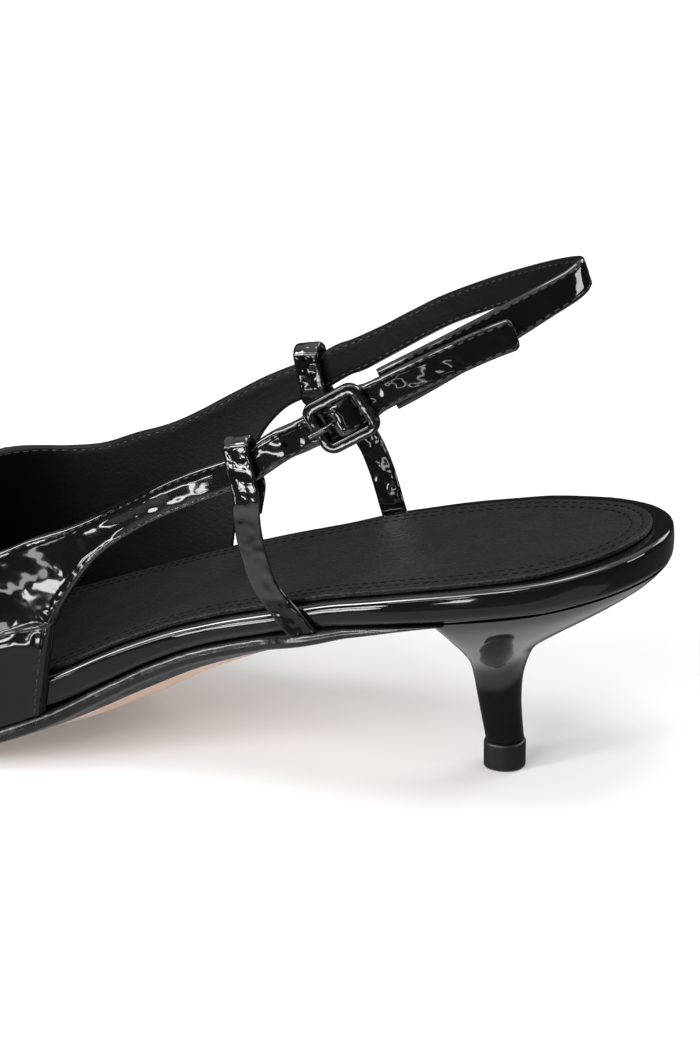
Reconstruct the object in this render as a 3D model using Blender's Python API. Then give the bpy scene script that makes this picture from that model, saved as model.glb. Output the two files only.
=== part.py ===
"""Left shoe of a pair of slingback pumps with a pointed toe and a kitten heel.

Metres, +Z up. The origin is the centre of the heel tip's face on the floor. The toe points along +X
and the outer side of the foot, with the buckle, is +Y.
"""

from math import cos, pi, radians, sin, sqrt

import bmesh
import bpy
import numpy as np

# Driving dimensions
LENGTH = 0.250              # footbed, from its back end to the toe, along the floor
HEEL_OVERHANG = 0.036       # back end of the footbed behind the centre of the heel tip
SEAT_WIDTH = 0.0550
WAIST_WIDTH = 0.0500
BALL_WIDTH = 0.0735
SEAT_HEIGHT = 0.0454        # underside of the footbed over the heel tip
TOE_SPRING = 0.0045
SOLE_EDGE = 0.0038          # thickness of the outsole's edge
ARCH_CAMBER = 0.0068        # how far the outsole bulges below its edge in the arch
BOARD_EDGE = 0.0074         # thickness of the footbed's edge band
SOCK_THICKNESS = 0.0011
SOCK_MARGIN = 0.0026        # footbed left bare beside the sock
SOCK_BACK_MARGIN = 0.0046   # footbed left bare behind the sock
UPPER_WALL = 0.0016
PANEL_STEP = 0.0005         # how far the saddle panel stands proud of the vamp
UPPER_HEIGHT = 0.0443       # topline above the feather line where the wings end
BAND_WIDTH = 0.0072
STRAP_THICKNESS = 0.0018
SLING_WIDTH = 0.0068        # at the back of the heel
SLING_RISE = 0.1166         # middle of the sling strap above the floor at the back
KEEPER_WIDTH = 0.0060
KEEPER_THICKNESS = 0.0011
BUCKLE_LENGTH = 0.0143      # along the strap
BUCKLE_WIDTH = 0.0124       # across the strap
BUCKLE_BAR = 0.0019         # diameter of the frame
BUCKLE_CORNER = 0.0030
CENTRE_BAR = 0.0015
PRONG = 0.0013
PRONG_HOLE = 0.0019         # from the centre bar to the hole in the strap
TAB_WIDTH = 0.0055
TAB_THICKNESS = 0.0011
TIP_LENGTH = 0.0090
TIP_WIDTH = 0.0086
TIP_HEIGHT = 0.0064
TIP_FLARE = 0.0004          # how far the top piece stands out from the stem
GAP = 0.0003                # between pieces that touch

FRAME_LIFT = STRAP_THICKNESS / 2 + GAP + BUCKLE_BAR / 2      # frame above the strap's middle
BAR_DROP = BUCKLE_BAR / 2 + 0.2 * CENTRE_BAR                 # centre bar below the frame
STRAP_BULGE = FRAME_LIFT - BAR_DROP + CENTRE_BAR / 2 + GAP + STRAP_THICKNESS / 2
BACK = -HEEL_OVERHANG
HALF_SEAT = SEAT_WIDTH / 2
RUNG = 5                    # inner points of each cambered line across a flat piece
POINT_REACH = 2.0           # how much further than the sides the pointed toe moves in an offset
FULLNESS = 0.035            # how far the upper's side swells outside the feather line, per half-width
INNER_OPENING = 0.97        # topline on the inner side, as a share of the outer side's

# Plan of the footbed: station as a share of the length, the width it follows, and the shares of
# that width on the outer and inner side of the line from the heel to the toe point.
PLAN = [
    (0.000, SEAT_WIDTH, 0.000, 0.000),
    (0.020, SEAT_WIDTH, 0.248, 0.248),
    (0.044, SEAT_WIDTH, 0.352, 0.352),
    (0.090, SEAT_WIDTH, 0.456, 0.456),
    (0.152, SEAT_WIDTH, 0.500, 0.500),
    (0.200, SEAT_WIDTH, 0.504, 0.500),
    (0.264, WAIST_WIDTH, 0.536, 0.524),
    (0.328, WAIST_WIDTH, 0.524, 0.490),
    (0.392, WAIST_WIDTH, 0.532, 0.470),
    (0.456, WAIST_WIDTH, 0.590, 0.504),
    (0.512, BALL_WIDTH, 0.452, 0.398),
    (0.576, BALL_WIDTH, 0.504, 0.446),
    (0.632, BALL_WIDTH, 0.518, 0.476),
    (0.680, BALL_WIDTH, 0.500, 0.480),
    (0.736, BALL_WIDTH, 0.443, 0.450),
    (0.800, BALL_WIDTH, 0.346, 0.368),
    (0.864, BALL_WIDTH, 0.241, 0.262),
    (0.928, BALL_WIDTH, 0.145, 0.159),
    (0.976, BALL_WIDTH, 0.076, 0.080),
    (1.000, BALL_WIDTH, 0.000, 0.000),
]

# Side view: station, height of the sole's lower edge as a share of the seat height, toe spring,
# thickness of the sole and of the footbed, camber of the arch, each as a share of its named size.
PROFILE = [
    (0.000, 1.170, 0.00, 0.00, 1.00, 0.00),
    (0.088, 1.059, 0.00, 0.00, 0.98, 0.00),
    (0.152, 0.991, 0.00, 0.00, 0.95, 0.00),
    (0.200, 0.923, 0.00, 0.21, 0.88, 0.00),
    (0.240, 0.852, 0.00, 0.53, 0.81, 0.05),
    (0.280, 0.782, 0.00, 0.76, 0.76, 0.18),
    (0.328, 0.696, 0.00, 0.87, 0.69, 0.40),
    (0.384, 0.588, 0.00, 0.95, 0.71, 0.75),
    (0.436, 0.454, 0.00, 1.00, 0.83, 1.00),
    (0.472, 0.341, 0.00, 1.00, 0.96, 0.90),
    (0.512, 0.220, 0.00, 1.00, 1.00, 0.50),
    (0.556, 0.123, 0.00, 0.97, 0.88, 0.12),
    (0.592, 0.055, 0.00, 0.95, 0.74, 0.00),
    (0.616, 0.018, 0.00, 0.93, 0.66, 0.00),
    (0.636, 0.000, 0.00, 0.92, 0.62, 0.00),
    (0.700, 0.000, 0.00, 0.90, 0.55, 0.00),
    (0.784, 0.000, 0.11, 0.88, 0.50, 0.00),
    (0.864, 0.000, 0.38, 0.85, 0.44, 0.00),
    (0.944, 0.000, 0.71, 0.82, 0.36, 0.00),
    (1.000, 0.000, 1.00, 0.80, 0.30, 0.00),
]

# How far the sole's edge stands outside the footbed: station and share of the upper's wall.
SOLE_REACH = [
    (0.190, 0.15),
    (0.380, 0.20),
    (0.470, 0.55),
    (0.540, 1.55),
    (1.000, 1.45),
]

# Topline and ridge of the upper: station, height above the feather line as a share of the upper's
# height, and half the opening as a share of half the ball's width.
TOPLINE = [
    (0.330, 1.013, 0.842),
    (0.364, 0.986, 0.862),
    (0.404, 0.957, 0.866),
    (0.444, 0.925, 0.851),
    (0.484, 0.911, 0.836),
    (0.524, 0.918, 0.852),
    (0.560, 0.897, 0.892),
    (0.592, 0.914, 0.900),
    (0.624, 0.955, 0.830),
    (0.648, 0.976, 0.640),
    (0.664, 0.985, 0.390),
    (0.672, 0.988, 0.000),
    (0.720, 0.884, 0.000),
    (0.784, 0.700, 0.000),
    (0.848, 0.522, 0.000),
    (0.904, 0.386, 0.000),
    (0.952, 0.290, 0.000),
    (0.978, 0.215, 0.000),
    (1.000, 0.000, 0.000),
]

# Lines across the upper from its top to its foot: stations on the topline or ridge, on the lower
# edge of the saddle panel and on the feather line, with the height of the panel's edge as a share
# of the wall. Each wing's rows without a foot are open below, and the last is the first with one.
OUTER_WING = [
    (0.3448, 0.3304, 0.838, 0.000),
    (0.370, 0.358, 0.829, 0.000),
    (0.396, 0.388, 0.822, 0.000),
    (0.424, 0.418, 0.816, 0.000),
    (0.452, 0.446, 0.800, 0.000),
    (0.476, 0.468, 0.757, 0.000),
    (0.496, 0.481, 0.690, 0.000),
    (0.516, 0.492, 0.610, 0.000),
    (0.536, 0.500, 0.530, 0.000),
    (0.556, 0.506, 0.450, 0.515),
    (0.584, 0.532, 0.475, 0.548),
    (0.612, 0.564, 0.505, 0.584),
    (0.636, 0.596, 0.545, 0.620),
]
INNER_WING = [
    (0.3692, 0.3548, 0.815, 0.000),
    (0.396, 0.382, 0.800, 0.000),
    (0.422, 0.402, 0.735, 0.000),
    (0.448, 0.414, 0.640, 0.000),
    (0.472, 0.421, 0.535, 0.000),
    (0.496, 0.427, 0.430, 0.434),
    (0.524, 0.464, 0.440, 0.474),
    (0.552, 0.500, 0.450, 0.512),
    (0.582, 0.534, 0.470, 0.550),
    (0.612, 0.566, 0.500, 0.585),
    (0.636, 0.596, 0.545, 0.620),
]
VAMP_LINES = [
    (0.656, 0.628, 0.600, 0.656),
    (0.672, 0.664, 0.670, 0.692),
    (0.696, 0.700, 0.755, 0.728),
    (0.720, 0.728, 0.870, 0.764),
    (0.740, 0.740, 1.000, 0.796),
    (0.776, 0.776, 1.000, 0.824),
    (0.820, 0.820, 1.000, 0.856),
    (0.864, 0.864, 1.000, 0.888),
    (0.908, 0.908, 1.000, 0.920),
    (0.944, 0.944, 1.000, 0.950),
    (0.974, 0.974, 1.000, 0.976),
    (0.992, 0.992, 1.000, 0.992),
    (1.000, 1.000, 1.000, 1.000),
]
THROAT = 0.672              # station where the topline crosses the ridge
LINE_STEPS = 2              # lines made between two rows
PANEL_POINTS = 6            # points down the panel
VAMP_POINTS = 6             # points down the vamp below the panel

# Heel from the top piece up to the seat: share of the height, and how far the outline has grown
# from the stem to the seat at the back, beside and in front.
HEEL_FLARE = [
    (0.00, 0.000, 0.000, 0.000),
    (0.10, -0.016, 0.000, 0.100),
    (0.20, -0.025, 0.000, 0.200),
    (0.31, -0.018, 0.005, 0.300),
    (0.40, 0.012, 0.030, 0.360),
    (0.48, 0.060, 0.080, 0.400),
    (0.56, 0.175, 0.200, 0.420),
    (0.62, 0.295, 0.320, 0.440),
    (0.69, 0.440, 0.460, 0.460),
    (0.76, 0.590, 0.610, 0.500),
    (0.86, 0.790, 0.800, 0.600),
    (0.94, 0.930, 0.930, 0.780),
    (1.00, 1.000, 1.000, 1.000),
]
HEEL_FRONT = 0.0115         # breast of the heel in front of the tip's centre
HEEL_INSET = 0.0006         # seat of the heel inside the footbed's edge
HEEL_SIDES = 36

# Middle line of the sling strap, from the inner keeper round the heel to its cut end: distance in
# front of the heel tip as a share of the overhang, side as a share of half the seat, height as a
# share of the rise at the back, width as a share of the width there, and outward lean in degrees.
SLING = [
    (1.333, -1.096, 0.6578, 1.10, 0),
    (1.222, -1.072, 0.6767, 1.08, 0),
    (1.014, -1.012, 0.7205, 1.00, 0),
    (0.803, -0.945, 0.7675, 0.98, 2),
    (0.589, -0.855, 0.8135, 0.98, 4),
    (0.278, -0.690, 0.8720, 0.99, 7),
    (0.000, -0.500, 0.9220, 1.00, 10),
    (-0.220, -0.318, 0.9610, 1.00, 14),
    (-0.380, -0.140, 0.9890, 1.00, 17),
    (-0.440, 0.000, 1.0000, 1.00, 18),
    (-0.400, 0.140, 0.9870, 1.02, 17),
    (-0.260, 0.300, 0.9610, 1.08, 14),
    (-0.060, 0.450, 0.9220, 1.20, 10),
    (0.180, 0.615, 0.8760, 1.34, 6),
    (0.400, 0.745, 0.8350, 1.44, 4),
    (0.542, 0.815, 0.8090, 1.47, 3),
]

# Middle line of the front strap, from the outer keeper through the buckle to its free tail.
FRONT_STRAP = [
    (1.139, 1.060, 0.6960, 0),
    (1.000, 1.020, 0.7200, 0),
    (0.765, 0.987, 0.7667, 0),
    (0.558, 0.945, 0.8090, 2),
    (0.360, 0.865, 0.8450, 4),
    (0.150, 0.755, 0.8790, 6),
    (-0.010, 0.640, 0.9020, 8),
    (-0.160, 0.525, 0.9200, 10),
]
BUCKLE_STATION = 0.765      # the buckle's centre, as a share of the overhang

# Keepers: side, station of the foot at the sole's edge, station of the loop round the band, where
# the wing ends and a strap begins, and two points of the leg: share of the height and of the run.
KEEPERS = [
    ("keeper_outer", 1, 0.292, 0.3376, 0.310, 0.755, 0.810, 1.020),
    ("keeper_inner", -1, 0.278, 0.3620, 0.210, 0.100, 0.765, 0.510),
]
KEEPER_LEG = 5              # points made up a keeper's leg
FOOT_ROUNDS = 5             # rounds that bring a keeper's foot down to the sloping sole
KEEPER_LAP = 0.0048         # inner layer below the band
KEEPER_TILT = radians(12)   # the loop leans forward
LOOP_CLEARANCE = 0.0005     # between the loop's layers and the band
LOOP_ROOM = 0.0013          # room in the loop above and below the sloping band
SOLE_SWELL = 0.0016         # how far the sole's edge swells under each keeper


def slopes(xs, ys):
    """Slopes of a smooth curve through the points that never overshoots them."""
    steps = np.diff(xs)
    rates = np.diff(ys) / steps
    result = np.zeros_like(ys)
    for i in range(1, len(xs) - 1):
        if rates[i - 1] * rates[i] > 0:
            left = 2 * steps[i] + steps[i - 1]
            right = steps[i] + 2 * steps[i - 1]
            result[i] = (left + right) / (left / rates[i - 1] + right / rates[i])
    result[0] = rates[0]
    result[-1] = rates[-1]
    return result


def smooth(xs, ys, x):
    """Value at x of the smooth curve through the points."""
    xs = np.asarray(xs, float)
    ys = np.asarray(ys, float)
    x = min(max(x, xs[0]), xs[-1])
    i = min(int(np.searchsorted(xs, x, side="right")) - 1, len(xs) - 2)
    step = xs[i + 1] - xs[i]
    t = (x - xs[i]) / step
    slope = slopes(xs, ys)
    start = (2 * t**3 - 3 * t**2 + 1) * ys[i] + (t**3 - 2 * t**2 + t) * step * slope[i]
    end = (3 * t**2 - 2 * t**3) * ys[i + 1] + (t**3 - t**2) * step * slope[i + 1]
    return start + end


def column(table, index, station):
    """Value of a table's column at a station."""
    return smooth([row[0] for row in table], [row[index] for row in table], station)


def through(points, steps):
    """Points of a Catmull-Rom curve through a list of points, with a number of steps for each."""
    points = np.asarray(points, float)
    padded = np.vstack([2 * points[0] - points[1], points, 2 * points[-1] - points[-2]])
    result = []
    for i in range(1, len(padded) - 2):
        before, a, b, after = padded[i - 1:i + 3]
        for k in range(steps):
            t = k / steps
            result.append(0.5 * (2 * a + (b - before) * t
                                 + (2 * before - 5 * a + 4 * b - after) * t**2
                                 + (3 * a - before - 3 * b + after) * t**3))
    result.append(points[-1])
    return result


def station_of(x):
    """Station, as a share of the length, of a distance in front of the origin."""
    return (x - BACK) / LENGTH


def half_width(side, station):
    """Half-width of the footbed. Squares are joined, so that both ends come out round."""
    index = 2 if side > 0 else 3
    squares = [(row[1] * row[index]) ** 2 for row in PLAN]
    return sqrt(max(0.0, smooth([row[0] for row in PLAN], squares, station)))


def edge(station, side, out):
    """Plan position of the footbed's edge moved outwards."""
    x = BACK - out + station * (LENGTH + out + out * POINT_REACH)
    return x, side * half_width(side, station) * (1 + out / HALF_SEAT)


def sole_bottom(x):
    """Height of the sole's lower edge above the floor."""
    station = station_of(x)
    return SEAT_HEIGHT * column(PROFILE, 1, station) + TOE_SPRING * column(PROFILE, 2, station)


def feather(x):
    """Height of the sole's upper edge, which the footbed, upper and keepers stand on."""
    return sole_bottom(x) + SOLE_EDGE * column(PROFILE, 3, station_of(x))


def board_top(x):
    return feather(x) + GAP + BOARD_EDGE * column(PROFILE, 4, station_of(x))


def stations(first, last, round_first=0.0, round_last=0.0, middle=16, ends=5):
    """Stations along the shoe, closer together over the round ends."""
    result = [first + round_first * (1 - cos(pi / 2 * k / ends)) for k in range(ends if round_first else 0)]
    start = first + round_first
    stop = last - round_last
    result += [start + (stop - start) * k / middle for k in range(middle + 1)]
    if round_last:
        result += [stop + round_last * sin(pi / 2 * k / ends) for k in range(1, ends + 1)]
    return result


def material(name, colour, roughness, metallic=0.0):
    result = bpy.data.materials.new(name)
    result.use_nodes = True
    shader = result.node_tree.nodes["Principled BSDF"]
    shader.inputs["Base Color"].default_value = (*colour, 1.0)
    shader.inputs["Roughness"].default_value = roughness
    shader.inputs["Metallic"].default_value = metallic
    return result


def finish(name, bm, look, sharp=40.0):
    """Weld a mesh, turn its faces out and add it to the shoe."""
    bmesh.ops.remove_doubles(bm, verts=bm.verts, dist=0.000002)
    bmesh.ops.dissolve_degenerate(bm, edges=bm.edges, dist=0.000002)
    bmesh.ops.recalc_face_normals(bm, faces=bm.faces)
    mesh = bpy.data.meshes.new(name)
    bm.to_mesh(mesh)
    bm.free()
    mesh.shade_smooth()
    mesh.set_sharp_from_angle(angle=radians(sharp))
    mesh.materials.append(look)
    piece = bpy.data.objects.new(name, mesh)
    shoe.objects.link(piece)
    return piece


def skin(bm, rows, closed=False):
    """Faces between neighbouring rows of points, each row an open or a closed line."""
    lines = [[bm.verts.new(point) for point in row] for row in rows]
    count = len(rows[0])
    for near, far in zip(lines, lines[1:]):
        for k in range(count if closed else count - 1):
            after = (k + 1) % count
            bm.faces.new((near[k], near[after], far[after], far[k]))
    return lines


def loft(rows, cap_first=True, cap_last=True):
    """Closed body through a list of closed sections."""
    bm = bmesh.new()
    lines = skin(bm, rows, closed=True)
    if cap_first:
        bm.faces.new(lines[0])
    if cap_last:
        bm.faces.new(list(reversed(lines[-1])))
    return bm


def plate_section(station, sides, camber=None, swell=None):
    """Section across a flat piece. Each row of sides is an offset and the height there, and a
    camber bulges the underside."""
    corners = []
    for side in (1, -1):
        column_points = []
        for out, height in sides:
            x, y = edge(station, side, out)
            y += side * (swell(station, side) if swell else 0.0)
            column_points.append((x, y, height(x)))
        corners.append(column_points)
    outer, inner = [np.array(points) for points in corners]
    section = list(outer)
    section += list(inner[::-1])
    if camber is not None:
        section += rung(inner[0], outer[0], camber)
    return section


def rung(start, end, camber):
    """Inner points of a line across a piece, bulged down by the camber."""
    result = []
    for k in range(1, RUNG + 1):
        across = 0.5 - 0.5 * cos(pi * k / (RUNG + 1))
        point = start + (end - start) * across
        point[2] -= camber * (1 - (2 * across - 1) ** 6)
        result.append(point)
    return result


def make_outsole():
    """Thin sole from the heel's breast to the toe, cambered in the arch and flat at the ball."""
    rows = []
    breast = station_of(HEEL_FRONT + 1.5 * GAP)
    for station in stations(breast, 1.0, 0.0, 0.05, middle=34):
        x = BACK + station * LENGTH
        reach = GAP + UPPER_WALL * column(SOLE_REACH, 1, station)
        thick = SOLE_EDGE * column(PROFILE, 3, station)
        roll = min(0.0009, thick / 3)
        sides = [
            (reach - 1.6 * roll, sole_bottom),
            (reach - 0.5 * roll, lambda x, roll=roll: sole_bottom(x) + 0.4 * roll),
            (reach, lambda x, roll=roll: sole_bottom(x) + 1.2 * roll),
            (reach, lambda x, roll=roll: feather(x) - 0.7 * roll),
            (reach - 0.7 * roll, feather),
        ]
        camber = ARCH_CAMBER * column(PROFILE, 5, station)
        rows.append(plate_section(station, sides, camber, sole_swell))
    return finish("outsole", loft(rows), sole_leather)


def sole_swell(station, side):
    """Rounded bump of the sole's edge where a keeper passes under the footbed."""
    foot = next(row[2] for row in KEEPERS if row[1] == side)
    distance = abs(station - foot) * LENGTH / (1.5 * KEEPER_WIDTH)
    return SOLE_SWELL * cos(pi / 2 * distance) if distance < 1 else 0.0


def board_reach(station):
    """The footbed draws in from the upper towards the toe."""
    return -0.0012 * max(0.0, (station - 0.8) / 0.2)


def make_footbed():
    rows = []
    for station in stations(0.0, 1.0, 0.152, 0.05, middle=30):
        reach = board_reach(station)
        thick = BOARD_EDGE * column(PROFILE, 4, station)
        roll = min(0.0010, thick / 3)
        sides = [
            (reach - roll, lambda x: feather(x) + GAP),
            (reach - 0.25 * roll, lambda x, roll=roll: feather(x) + GAP + 0.35 * roll),
            (reach, lambda x, roll=roll: feather(x) + GAP + 1.4 * roll),
            (reach, lambda x, roll=roll: board_top(x) - 0.9 * roll),
            (reach - 0.3 * roll, lambda x, roll=roll: board_top(x) - 0.25 * roll),
            (reach - 0.9 * roll, board_top),
        ]
        rows.append(plate_section(station, sides))
    return finish("footbed", loft(rows), patent)


def make_sock():
    rows = []
    last = 0.93
    for station in stations(0.0, last, 0.152, 0.0, middle=28):
        back = max(0.0, 1 - station / 0.10)
        reach = -SOCK_MARGIN - (SOCK_BACK_MARGIN - SOCK_MARGIN) * back + board_reach(station)
        sides = [
            (reach, lambda x: board_top(x) + GAP),
            (reach, lambda x: board_top(x) + GAP + 0.6 * SOCK_THICKNESS),
            (reach - 0.4 * SOCK_THICKNESS, lambda x: board_top(x) + GAP + SOCK_THICKNESS),
        ]
        rows.append(plate_section(station, sides))
    return finish("insole_sock", loft(rows), sock_leather)


def upper_point(station, rise, side, depth):
    """Point of the upper's wall: share of the way up its section, and depth below its surface."""
    x, y = edge(station, side, GAP + UPPER_WALL - depth)
    foot = np.array([x, y, feather(x) + GAP])
    width = abs(y)
    reach = BALL_WIDTH / 2 * (1.0 if side > 0 else INNER_OPENING)
    opening = reach * sqrt(max(0.0, smooth([row[0] for row in TOPLINE],
                                        [row[2] ** 2 for row in TOPLINE], station)))
    height = UPPER_HEIGHT * sqrt(max(0.0, smooth([row[0] for row in TOPLINE],
                                                 [row[1] ** 2 for row in TOPLINE], station)))
    if station >= THROAT:
        opening = 0.0
    lean = min(1.0, opening / max(width, 0.0001))
    height = max(0.0, height - depth * (1 - lean) * min(1.0, height / 0.004))
    top = foot + (0, 0, height)
    top[1] = side * max(0.0, opening - depth * lean) if opening else 0.0
    low = foot + (0, side * FULLNESS * width, 0.42 * height)
    high = top + (0, side * 0.60 * width * (1 - lean), -0.38 * height * lean)
    back = 1 - rise
    return back**3 * foot + 3 * back**2 * rise * low + 3 * back * rise**2 * high + rise**3 * top


def upper_lines(side):
    """One side's lines across the upper, and the places of the first with a foot, of the throat
    and of the first whose panel has closed."""
    table = (OUTER_WING if side > 0 else INNER_WING) + VAMP_LINES
    first = next(i for i, row in enumerate(table) if row[3])
    rows = [list(row) for row in table]
    for row in rows[:first]:
        row[3] = row[1]
    index = range(len(rows))
    lines = []
    for k in range((len(rows) - 1) * LINE_STEPS + 1):
        lines.append([smooth(index, [row[c] for row in rows], k / LINE_STEPS) for c in range(4)])
    throat = next(i for i, row in enumerate(table) if row[0] == THROAT)
    closed = next(i for i, row in enumerate(table) if row[2] == 1)
    return lines, first * LINE_STEPS, throat * LINE_STEPS, closed * LINE_STEPS


def upper_skin(bm, side, depth_panel, depth_vamp):
    """One skin of the upper on one side: the points of its panel's and of its vamp's lines."""
    lines, first, _, closed = upper_lines(side)
    panel = []
    for top, seam, rise, _ in lines[:closed + 1]:
        row = []
        for k in range(PANEL_POINTS + 1):
            t = k / PANEL_POINTS
            row.append(upper_point(seam + (top - seam) * t, rise + (1 - rise) * t, side, depth_panel))
        panel.append(row)
    vamp = []
    for _, seam, rise, foot in lines[first:]:
        row = []
        for k in range(VAMP_POINTS + 1):
            t = k / VAMP_POINTS
            row.append(upper_point(foot + (seam - foot) * t, rise * t, side, depth_vamp))
        vamp.append(row)
    skin(bm, panel)
    skin(bm, vamp)
    return panel, vamp


def make_upper():
    """Pointed vamp and two open wings: two skins a wall apart, joined along every edge."""
    bm = bmesh.new()
    for side in (1, -1):
        _, first, throat, _ = upper_lines(side)
        panel, vamp = upper_skin(bm, side, -PANEL_STEP, 0.0)
        inner_panel, inner_vamp = upper_skin(bm, side, UPPER_WALL, UPPER_WALL)
        seam = [row[0] for row in panel[first:]]
        skin(bm, [seam, [row[-1] for row in vamp[:len(seam)]]])
        skin(bm, [panel[0], inner_panel[0]])
        skin(bm, [[row[0] for row in wall[:first + 1]] for wall in (panel, inner_panel)])
        skin(bm, [[row[-1] for row in wall[:throat + 1]] for wall in (panel, inner_panel)])
        skin(bm, [vamp[0], inner_vamp[0]])
        skin(bm, [[row[0] for row in wall] for wall in (vamp, inner_vamp)])
        corner = (panel[first][0], vamp[0][-1], inner_vamp[0][-1])
        bm.faces.new([bm.verts.new(point) for point in corner])
    return finish("upper", bm, patent)


def heel_plan(angle, back, half, front, squareness):
    """Section of the heel in plan: round behind, squarer in front, about its own centre."""
    c = cos(angle)
    s = sin(angle)
    if c < 0:
        return back * c, half * s
    power = 2 / squareness
    return front * abs(c) ** power, half * abs(s) ** power * (1 if s >= 0 else -1)


def heel_row(share):
    """Closed section of the heel at a share of the way from the top piece to the seat."""
    row = []
    grown = [column(HEEL_FLARE, k, share) for k in (1, 2, 3)]
    centre = 0.06 * HEEL_OVERHANG
    stem_back = TIP_LENGTH / 2 - TIP_FLARE
    stem_half = TIP_WIDTH / 2 - TIP_FLARE
    for k in range(HEEL_SIDES):
        angle = pi + 2 * pi * k / HEEL_SIDES
        stem = heel_plan(angle, stem_back, stem_half, stem_back, 2.6)
        seat_back = HEEL_OVERHANG + centre - HEEL_INSET
        seat = heel_plan(angle, seat_back, HALF_SEAT - HEEL_INSET, HEEL_FRONT - centre, 5.0)
        along = grown[0] if cos(angle) < 0 else grown[2]
        x = stem[0] + (seat[0] + centre - stem[0]) * along
        y = stem[1] + (seat[1] - stem[1]) * grown[1]
        ceiling = feather(seat[0] + centre)
        row.append((x, y, TIP_HEIGHT + GAP + (ceiling - TIP_HEIGHT - GAP) * share))
    return row


def ladder(bm, line):
    """Cap of a closed line whose points lie in pairs across the shoe."""
    count = len(line)
    half = count // 2
    bm.faces.new((line[0], line[1], line[-1]))
    for k in range(1, half - 1):
        bm.faces.new((line[k], line[k + 1], line[count - k - 1], line[count - k]))
    bm.faces.new((line[half - 1], line[half], line[half + 1]))


def make_heel():
    shares = [row[0] for row in HEEL_FLARE]
    shares += [(a + b) / 2 for a, b in zip(shares, shares[1:])]
    rows = [heel_row(share) for share in sorted(shares)]
    bm = bmesh.new()
    lines = skin(bm, rows, closed=True)
    bm.faces.new(lines[0])
    ladder(bm, lines[-1])
    return finish("heel", bm, patent)


def make_top_piece():
    """Heel tip, a little wider than the stem, with a flat face on the floor."""
    rows = []
    roll = 0.0005
    for height, inset in ((0.0, roll), (roll, 0.0), (TIP_HEIGHT - roll, 0.0), (TIP_HEIGHT, roll)):
        back = TIP_LENGTH / 2 - inset
        half = TIP_WIDTH / 2 - inset
        row = []
        for k in range(HEEL_SIDES):
            x, y = heel_plan(pi + 2 * pi * k / HEEL_SIDES, back, half, back, 2.6)
            row.append((x, y, height))
        rows.append(row)
    return finish("top_piece", loft(rows), tip_rubber)


def unit(vector):
    return vector / np.linalg.norm(vector)


def frames(points, hints):
    """Direction, width direction and outward direction at each point of a strap."""
    result = []
    for k, point in enumerate(points):
        along = unit(points[min(k + 1, len(points) - 1)] - points[max(k - 1, 0)])
        across = unit(hints[k] - along * np.dot(hints[k], along))
        result.append((along, across, np.cross(along, across)))
    return result


def strap_rows(points, hints, widths, thickness):
    """Rounded sections of a flat strap along its middle line."""
    rows = []
    bevel = 0.3 * thickness
    for point, (_, across, out), width in zip(points, frames(points, hints), widths):
        a = width / 2
        b = thickness / 2
        corners = [(a - bevel, b), (a, b - bevel), (a, bevel - b), (a - bevel, -b),
                   (bevel - a, -b), (-a, bevel - b), (-a, b - bevel), (bevel - a, b)]
        rows.append([point + across * u + out * v for u, v in corners])
    return rows


def hanging(points, leans):
    """Downward hints for a strap on edge, leaning outwards at its lower edge by some degrees."""
    result = []
    for k, point in enumerate(points):
        along = points[min(k + 1, len(points) - 1)] - points[max(k - 1, 0)]
        level = unit(np.array([along[0], along[1], 0.0]))
        out = np.array([level[1], -level[0], 0.0])
        if np.dot(out, [point[0] - 0.05, point[1], 0.0]) < 0:
            out = -out
        result.append(out * sin(radians(leans[k])) + np.array([0.0, 0.0, -cos(radians(leans[k]))]))
    return result


def strap_line(table, steps, start):
    """Middle line of a strap from its start through its table, with the other columns beside it."""
    scale = np.array([HEEL_OVERHANG, HALF_SEAT, SLING_RISE])
    rows = [[*start, *table[0][3:]]]
    rows += [[*(np.array(row[:3]) * scale), *row[3:]] for row in table]
    rows = through(rows, steps)
    return [np.array(row[:3]) for row in rows], [row[3:] for row in rows]


def band_middle(side):
    """Middle of the wing's rear end, between its edges and between its faces."""
    lines, _, _, _ = upper_lines(side)
    top, low, rise, _ = lines[0]
    corners = [upper_point(top, 1.0, side, depth) for depth in (-PANEL_STEP, UPPER_WALL)]
    corners += [upper_point(low, rise, side, depth) for depth in (-PANEL_STEP, UPPER_WALL)]
    return sum(corners) / 4


def strap_start(side, table):
    """The strap begins just behind the wing's end, inside the keeper's loop."""
    middle = band_middle(side)
    scale = np.array([HEEL_OVERHANG, HALF_SEAT, SLING_RISE])
    along = unit(np.array(table[0][:3]) * scale - middle)
    return middle + along * 3 * GAP


def make_sling_strap():
    points, rest = strap_line(SLING, 3, strap_start(-1, SLING))
    widths = [SLING_WIDTH * row[0] for row in rest]
    hints = hanging(points, [row[1] for row in rest])
    return finish("sling_strap", loft(strap_rows(points, hints, widths, STRAP_THICKNESS)), patent)


def buckle_frame():
    """Place and directions of the buckle: middle of the strap there, along, across, outwards."""
    points, rest = strap_line(FRONT_STRAP, 6, strap_start(1, FRONT_STRAP))
    hints = hanging(points, [row[0] for row in rest])
    centre = BUCKLE_STATION * HEEL_OVERHANG
    k = min(range(len(points)), key=lambda i: abs(points[i][0] - centre))
    along, across, out = frames(points, hints)[k]
    return points[k], along, across, out * (1 if out[1] > 0 else -1)


def strap_rise(distance):
    """How far the strap rises towards the centre bar, at a distance along it."""
    room = BUCKLE_LENGTH / 2 - BUCKLE_BAR
    return STRAP_BULGE * cos(pi / 2 * distance / room) ** 2 if abs(distance) < room else 0.0


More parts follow.
